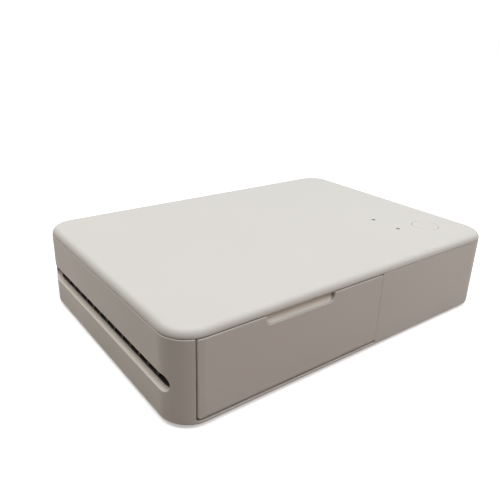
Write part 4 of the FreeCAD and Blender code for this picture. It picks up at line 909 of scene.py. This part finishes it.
def doorFront(y, z):
    # The casing's side, and below the hinge axis a round about it that just clears the sill
    swept = beadX + np.sqrt(np.clip(door["sweep"] ** 2 - np.clip(beadZ - z, 0, None) ** 2, 0, None))
    return np.minimum(sideX(y), swept)


def doorBack(y, z):
    # The panel's inner face, and round the bead as far as its top
    bulge = beadX - np.sqrt(np.clip(door["bead"] ** 2 - (z - beadZ) ** 2, 0, None))
    return np.where(z < beadZ + door["bead"], bulge, sideX(y, door["thickness"]))


def unrolled(z):
    # Height measured along the bead's round: radius times the arc sine, then straight on
    part = np.clip((z - beadZ) / door["bead"], -1, 1)
    return door["bead"] * np.arcsin(part) + np.clip(z - beadZ - door["bead"], 0, None)


def rolledUp(way):
    # The height at a way along the bead's round: radius times the sine, then straight on
    part = np.clip(way, -beadQuarter, beadQuarter) / door["bead"]
    return beadZ + door["bead"] * np.sin(part) + np.clip(way - beadQuarter, 0, None)


def doorOutline():
    half, top = door["notchWidth"] / 2, doorHigh.z
    near, far = doorMiddle + half, doorMiddle - half
    corners = [(doorY0, doorLow.z), (doorY1, doorLow.z), (doorY1, top), (near, top), (near, notchZ),
               (far, notchZ), (far, top), (doorY0, top)]
    radii = [door[key] for key in ("frontRound", "lowerRound", "upperRound", "notchLip", "notchRound",
                                   "notchRound", "notchLip", "upperRound")]
    return divided(filletedOutline(corners, radii, broadSteps), door["longRun"])


def doorRim(outline):
    # Two quarter circles join front and back: the edge's round times one less the sine or the cosine
    points, normals = outline
    count = door["roundRows"]
    thick = doorFront(points[:, 0], points[:, 1]) - doorBack(points[:, 0], points[:, 1])
    edge = np.where(points[:, 0] > doorY1 - door["rearBand"], door["rearEdge"], door["edge"])
    edge = np.minimum(edge, thick * door["edgeShare"])
    turn = np.linspace(0, math.pi / 2, count)
    sine, cosine = np.sin(turn), np.cos(turn)
    inset = edge * (1 - np.concatenate([sine, cosine]))[:, None]
    drop = edge * (1 - np.concatenate([cosine, sine]))[:, None]
    flat = points[None] - normals[None] * inset[..., None]
    y, z = flat[..., 0], flat[..., 1]
    front = doorFront(y[:count], z[:count]) - drop[:count]
    back = doorBack(y[count:], z[count:]) + drop[count:]
    return np.stack([np.concatenate([front, back]), y, z], -1)


def doorGrid():
    # Close rows round the bead and a few above it, as (y, way along the bead's round)
    step = door["beadStep"]
    beadRows = np.append(np.linspace(-beadQuarter, beadQuarter - step, door["beadRows"]), beadQuarter + step)
    panelRows = np.linspace(beadQuarter + door["bead"], unrolled(doorHigh.z), door["panelRows"])
    columns = np.concatenate([np.linspace(doorY0, -centreY, door["frontColumns"]),
                              np.linspace(-centreY, doorY1, door["panelColumns"])])
    return np.concatenate([crossed(np.arange(doorY0, doorY1, door["beadPitch"]), beadRows),
                           crossed(columns, panelRows)])


def makeDoor():
    # The outline with its notch, filled in front and behind, and joined by a rim with rounded edges
    rows = doorRim(doorOutline())
    loop = np.stack([rows[0, :, 1], unrolled(rows[0, :, 2])], 1)
    grid = keptInside(doorGrid(), loop, door["clear"])

    def filled(surface):
        def lift(flat):
            y, z = flat[:, 0], rolledUp(flat[:, 1])
            return np.stack([surface(y, z), y, z], 1)
        return filledCap([loop], grid, lift)

    panel = newShape("inkDoor", [gridPart(rows[::-1], capped=False), filled(doorFront), filled(doorBack)])
    ring = circleOutline(door["pinRadius"], (beadX, beadZ), door["pinSteps"])
    ends = ((doorLow.y, doorY0 + door["pinLength"]), (doorY1 - door["pinLength"], doorHigh.y))
    combined(panel, "UNION", [straightBar("doorPin", ring, y0, y1, (0, 2, 1)) for y0, y1 in ends])
    return finished(panel, "shellPlastic", "door", "shell_plastic", "cassette_door")


makeDoor()
print("ink door ready")


# Button and light pipes: sizes and places, which the cover's holes follow

button = {"radius": 5.25 * mm, "edge": 0.14 * mm, "dish": 0.1 * mm, "dishRows": 14, "flangeRadius": 6.8 * mm,
          "flangeHeight": 0.5 * mm, "flangeGap": 0.1 * mm, "stemRadius": 1.5 * mm, "steps": 96,
          "holeGap": 0.1 * mm, "holeEdge": 0.1 * mm}
pipes = {"edge": 0.12 * mm, "steps": 32, "holeGap": 0.02 * mm, "holeEdge": 0.06 * mm}
buttonLow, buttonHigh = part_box("power_button")
buttonPlace = ((buttonLow.x + buttonHigh.x) / 2, (buttonLow.y + buttonHigh.y) / 2)
lightLow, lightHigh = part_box("light_pipes")
lightRadius, lightY = (lightHigh.y - lightLow.y) / 2, (lightLow.y + lightHigh.y) / 2
lightPlaces = [(lightLow.x + lightRadius, lightY), (lightHigh.x - lightRadius, lightY)]


# Top cover

cover = {
    "edgeInset": 0.12 * mm, "rearInset": 0.02 * mm, "topFlat": 0.4 * mm,
    "barrelHalf": 48.0 * mm, "barrelShare": 0.972, "barrelSteps": 64,
    "spineInset": 1.5 * mm, "spineDrop": 0.5 * mm,
    "lipInset": 2.2 * mm, "lipWidth": 0.8 * mm, "lipDrop": 1.2 * mm,
    "lipRearGap": 2.0 * mm, "lipBayGap": 3.9 * mm, "lipBayEnds": 3.0 * mm,
    "magnetBoss": 2.8 * mm, "magnetBore": 2.02 * mm, "magnetDrop": 1.5 * mm, "magnetSteps": 40,
    "boardBoss": 1.7 * mm, "boardBossInset": 2.4 * mm, "boardBossSteps": 28, "windowGap": 0.2 * mm,
}


def coverSkin():
    # The section carried round the outline from the ceiling, down the inner wall, across the rim and over the
    # roll to the top; flat caps with round holes close it, and the holes' walls join them
    roll = casing["roll"]

    def section(rimInset):
        turn = np.linspace(math.asin(fine / roll), math.pi / 2, casing["rollSteps"])
        over = np.stack([rimInset + (roll - rimInset) * (1 - np.cos(turn)), seamZ + roll * np.sin(turn)], 1)
        return np.concatenate([
            bend((wall + lap, roofZ), (wall, roofZ), (wall, roofZ - lap), smallSteps),
            bend((wall, seamZ + fine), (wall, seamZ), (wall - fine, seamZ), fineSteps),
            bend((rimInset + fine, seamZ), (rimInset, seamZ), over[0], smallSteps)[:-1], over,
            [(roll + cover["topFlat"], topZ)]])

    outline = caseOutline()
    rear = outline[0][:, 1] > doorY1
    rows = carriedApart(outline, rear, section(cover["rearInset"]), section(cover["edgeInset"]))
    parts = [gridPart(rows, capped=False)]
    upper, lower = [rows[-1][:, :2]], [rows[0][:, :2]]
    holes = [(button, button["radius"], buttonPlace)] + [(pipes, lightRadius, place) for place in lightPlaces]
    for look, radius, place in holes:
        edge = look["holeEdge"]
        mouth = bend((-edge, topZ), (0, topZ), (0, topZ - edge), edgeSteps)
        ring = circleOutline(radius + look["holeGap"], place, look["steps"])
        wallRows = carried(ring, np.concatenate([mouth, [(0, roofZ)]]))
        parts.append(gridPart(wallRows, capped=False))
        upper.append(wallRows[0][:, :2])
        lower.append(wallRows[-1][:, :2])
    for loops, z in ((upper, topZ), (lower, roofZ)):
        parts.append(filledCap(loops, np.zeros((0, 2)), lambda flat: np.insert(flat, 2, z, axis=1)))
    return newShape("topCover", parts)


def insetPrism(name, inset, z0, z1):
    return upright(name, caseOutline(), [(inset, z0), (inset, z1)])


def coverBarrel():
    # The lower half of the hinge barrel, a hair slimmer than the roll above it, and the spine that carries it
    radius = casing["roll"] * cover["barrelShare"]
    half = cover["barrelHalf"]
    barrel = hingeBar("barrel", radius, cover["barrelSteps"], -half, half)
    trim = insetPrism("trim", casing["roll"] - radius, hingeZ - 2 * radius, hingeZ + fine)
    combined(barrel, "INTERSECT", [trim])
    spine = blockShape("spine", (-half + fine, hingeY - radius + fine, hingeZ - fine),
                       (half - fine, halfY - cover["spineInset"], roofZ + lap))
    trim = insetPrism("spineTrim", wall / 2, hingeZ - radius, topZ - cover["spineDrop"])
    return [barrel, combined(spine, "INTERSECT", [trim])]


def coverLip():
    # A rib round the ceiling that stands inside the shell's wall, left out at the hinge and over the bay
    inset, width = cover["lipInset"], cover["lipWidth"]
    low, high, under = seamZ - cover["lipDrop"], roofZ + lap, seamZ - casing["blockOverrun"]
    section = [(inset, low + fine), (inset, high), (inset + width, high), (inset + width, low + fine),
               (inset + width - fine, low), (inset + fine, low)]
    lip = newShape("lip", [gridPart(carried(caseOutline(), section), closedRows=True)])
    rear = blockShape("rearGap", (-halfX, centreY - cover["lipRearGap"], under), (halfX, halfY, topZ))
    bay = blockShape("bayGap", (halfX - cover["lipBayGap"], doorY0 - cover["lipBayEnds"], under),
                     (halfX, doorY1 + cover["lipBayEnds"], topZ))
    return combined(lip, "DIFFERENCE", [rear, bay])


def coverBosses():
    # Cups round the two magnets, and four posts for the button's board
    made = []
    low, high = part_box("latch_magnets")
    foot, into = roofZ - cover["magnetDrop"], roofZ + lap
    bore = cover["magnetBoss"] - cover["magnetBore"]
    section = [(0, foot), (0, into), (bore, into), (bore, foot)]
    for side in (-1, 1):
        place = (side * (high.x - (high.y - low.y) / 2), (low.y + high.y) / 2)
        ring = circleOutline(cover["magnetBoss"], place, cover["magnetSteps"])
        made.append(newShape("magnetBoss", [gridPart(carried(ring, section), closedRows=True)]))
    low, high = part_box("button_board")
    inset = cover["boardBossInset"]
    for place in fourPlaces(low.x + inset, high.x - inset, low.y + inset, high.y - inset):
        ring = circleOutline(cover["boardBoss"], place, cover["boardBossSteps"])
        made.append(upright("boardBoss", ring, [(0, high.z), (0, into)]))
    return made


def hingeWindows():
    made = []
    reach = casing["blockOverrun"]
    for x0, x1 in knuckleSpans(cover["windowGap"]):
        made += [hingeBar("knuckleRoom", shell["knuckleRadius"] + fine, shell["knuckleSteps"], x0, x1),
                 blockShape("hingeWindow", (x0, hingeY - reach, hingeZ - reach), (x1, halfY + reach, hingeZ))]
    return made


def makeCover():
    skin = coverSkin()
    combined(skin, "UNION", coverBarrel() + [coverLip()] + coverBosses())
    combined(skin, "DIFFERENCE", hingeWindows())
    return finished(skin, "shellPlastic", "cover", "shell_plastic", "top_cover")


makeCover()
print("top cover ready")


# Button, light pipes and feet: profiles turned about upright axes

def turnedPiece(name, radius, places, steps, profile):
    # The profile gives radius and height, and a row's inset is the rim's radius less its own
    rows = np.stack([radius - profile[:, 0], profile[:, 1]], 1)
    return newShape(name, [gridPart(carried(circleOutline(radius, place, steps), rows)) for place in places])


def makeButton():
    radius, edge = button["radius"], button["edge"]
    stem, flange, flangeTop = button["stemRadius"], button["flangeRadius"], roofZ - button["flangeGap"]
    flangeLow = flangeTop - button["flangeHeight"]
    across = np.linspace(radius - edge, hub, button["dishRows"])
    share = across / (radius - edge)
    dish = np.stack([across, topZ - button["dish"] * (1 - share ** 2) ** 2], 1)
    profile = np.concatenate([
        [(hub, buttonLow.z), (stem, buttonLow.z), (stem, flangeLow), (flange, flangeLow), (flange, flangeTop),
         (radius, flangeTop)],
        bend((radius, topZ - edge), (radius, topZ), (radius - edge, topZ), edgeSteps), dish[1:]])
    shape = turnedPiece("powerButton", radius, [buttonPlace], button["steps"], profile)
    return finished(shape, "shellPlastic", "button", "shell_plastic", "power_button")


def makeLightPipes():
    radius, edge = lightRadius, pipes["edge"]
    profile = np.concatenate([
        [(hub, lightLow.z), (radius, lightLow.z)],
        bend((radius, topZ - edge), (radius, topZ), (radius - edge, topZ), rimSteps), [(hub, topZ)]])
    shape = turnedPiece("lightPipes", radius, lightPlaces, pipes["steps"], profile)
    return finished(shape, "smokedPipe", "cover", "light_guide", "light_pipes")


feet = {"radius": 3.5 * mm, "edge": 0.35 * mm, "hollow": 0.15 * mm, "hollowRows": 10, "steps": 40}


def makeFeet():
    # Soft discs with a round lower edge and a shallow hollow under the middle
    low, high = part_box("rubber_feet")
    radius, edge = feet["radius"], feet["edge"]
    across = np.linspace(hub, radius - edge, feet["hollowRows"])
    under = np.stack([across, low.z + feet["hollow"] * (1 - (across / across[-1]) ** 4)], 1)
    profile = np.concatenate([
        under[:-1], bend((radius - edge, low.z), (radius, low.z), (radius, low.z + edge), edgeSteps),
        [(radius, high.z), (hub, high.z)]])
    places = fourPlaces(low.x + radius, high.x - radius, low.y + radius, high.y - radius)
    shape = turnedPiece("rubberFeet", radius, places, feet["steps"], profile)
    return finished(shape, "footRubber", "root", "foot_rubber", "rubber_feet")


makeButton()
makeLightPipes()
makeFeet()
print("button, light pipes and feet ready")


# Finger scoop behind the door's notch

scoop = {"faceInset": 0.35 * mm, "depth": 1.2 * mm, "hollowShare": 0.6, "gap": 0.17 * mm, "topGap": 0.35 * mm,
         "reach": 3.45 * mm, "longRun": 0.5 * mm, "pitch": 1.6 * mm, "rows": 16}


def makeScoop():
    # Fills the door's notch. How deep it lies is its full depth times a blend of two shares:
    # the height's own share u, and the quarter circle sqrt(1 - (1 - u)^2), which is flat at the foot
    half = door["notchWidth"] / 2 - scoop["gap"]
    y0, y1, low, high = doorMiddle - half, doorMiddle + half, notchZ + scoop["gap"], seamZ - scoop["topGap"]
    foot = door["notchRound"] - scoop["gap"]
    outline = boxOutline(y0, y1, low, high, [foot, foot, fine, fine], broadSteps)
    loop = divided(outline, scoop["longRun"])[0]

    def front(flat):
        share = np.clip((flat[:, 1] - low) / (high - low), 0, 1)
        circle = np.sqrt(1 - (1 - share) ** 2)
        depth = scoop["faceInset"] + scoop["depth"] * (share + (circle - share) * scoop["hollowShare"])
        return np.stack([halfX - depth, flat[:, 0], flat[:, 1]], 1)

    def back(flat):
        return np.stack([np.full(len(flat), halfX - scoop["reach"]), flat[:, 0], flat[:, 1]], 1)

    upwards = low + (high - low) * np.linspace(0, 1, scoop["rows"])[1:-1] ** 2
    grid = keptInside(crossed(np.arange(y0, y1, scoop["pitch"]), upwards), loop, fine)
    rim = gridPart(np.stack([front(loop), back(loop)]), capped=False)
    shape = newShape("fingerScoop", [rim, filledCap([loop], grid, front), filledCap([loop], grid[:0], back)])
    # The scoop wears the lighter copy of the bay plastic: painted light in the cove
    return finished(shape, "litScoopPlastic", "root", "bay_plastic")


makeScoop()
print("finger scoop ready")


# Coil spring under the paper plate

spring = {"wireRadius": 0.3 * mm, "pitchShare": 1.7, "fewestTurns": 2, "stepsPerTurn": 40, "ringSteps": 12}


def makeSpring():
    # A helix of round wire: centre + wire radius times (cos, sin) in the plane of the outward and the crosswise
    # direction. Its foot stands on the floor and its top reaches the plate.
    low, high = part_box("lift_spring")
    gauge = spring["wireRadius"]
    centre = np.array([(low.x + high.x) / 2, (low.y + high.y) / 2])
    radius, climb = (high.x - low.x) / 2 - gauge, high.z - low.z - 2 * gauge
    turns = max(spring["fewestTurns"], int(climb / (2 * gauge * spring["pitchShare"])))
    angle = np.linspace(0, 2 * math.pi * turns, turns * spring["stepsPerTurn"] + 1)
    sine, cosine = np.sin(angle), np.cos(angle)
    outward = np.stack([cosine, sine, np.zeros_like(angle)], 1)
    along = np.stack([-radius * sine, radius * cosine, np.full_like(angle, climb / angle[-1])], 1)
    along /= np.linalg.norm(along, axis=1)[:, None]
    crosswise = np.cross(along, outward)
    middle = outward * radius
    middle[:, :2] += centre
    middle[:, 2] = low.z + gauge + climb * angle / angle[-1]
    ring = np.linspace(0, 2 * math.pi, spring["ringSteps"], endpoint=False)[None, :, None]
    rows = middle[:, None] + gauge * (np.cos(ring) * outward[:, None] + np.sin(ring) * crosswise[:, None])
    shape = finished(newShape("liftCoil", [gridPart(rows)]), "shaftSteel", None, "shaft_steel", "lift_spring")
    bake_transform(shape)


makeSpring()
print("spring ready")
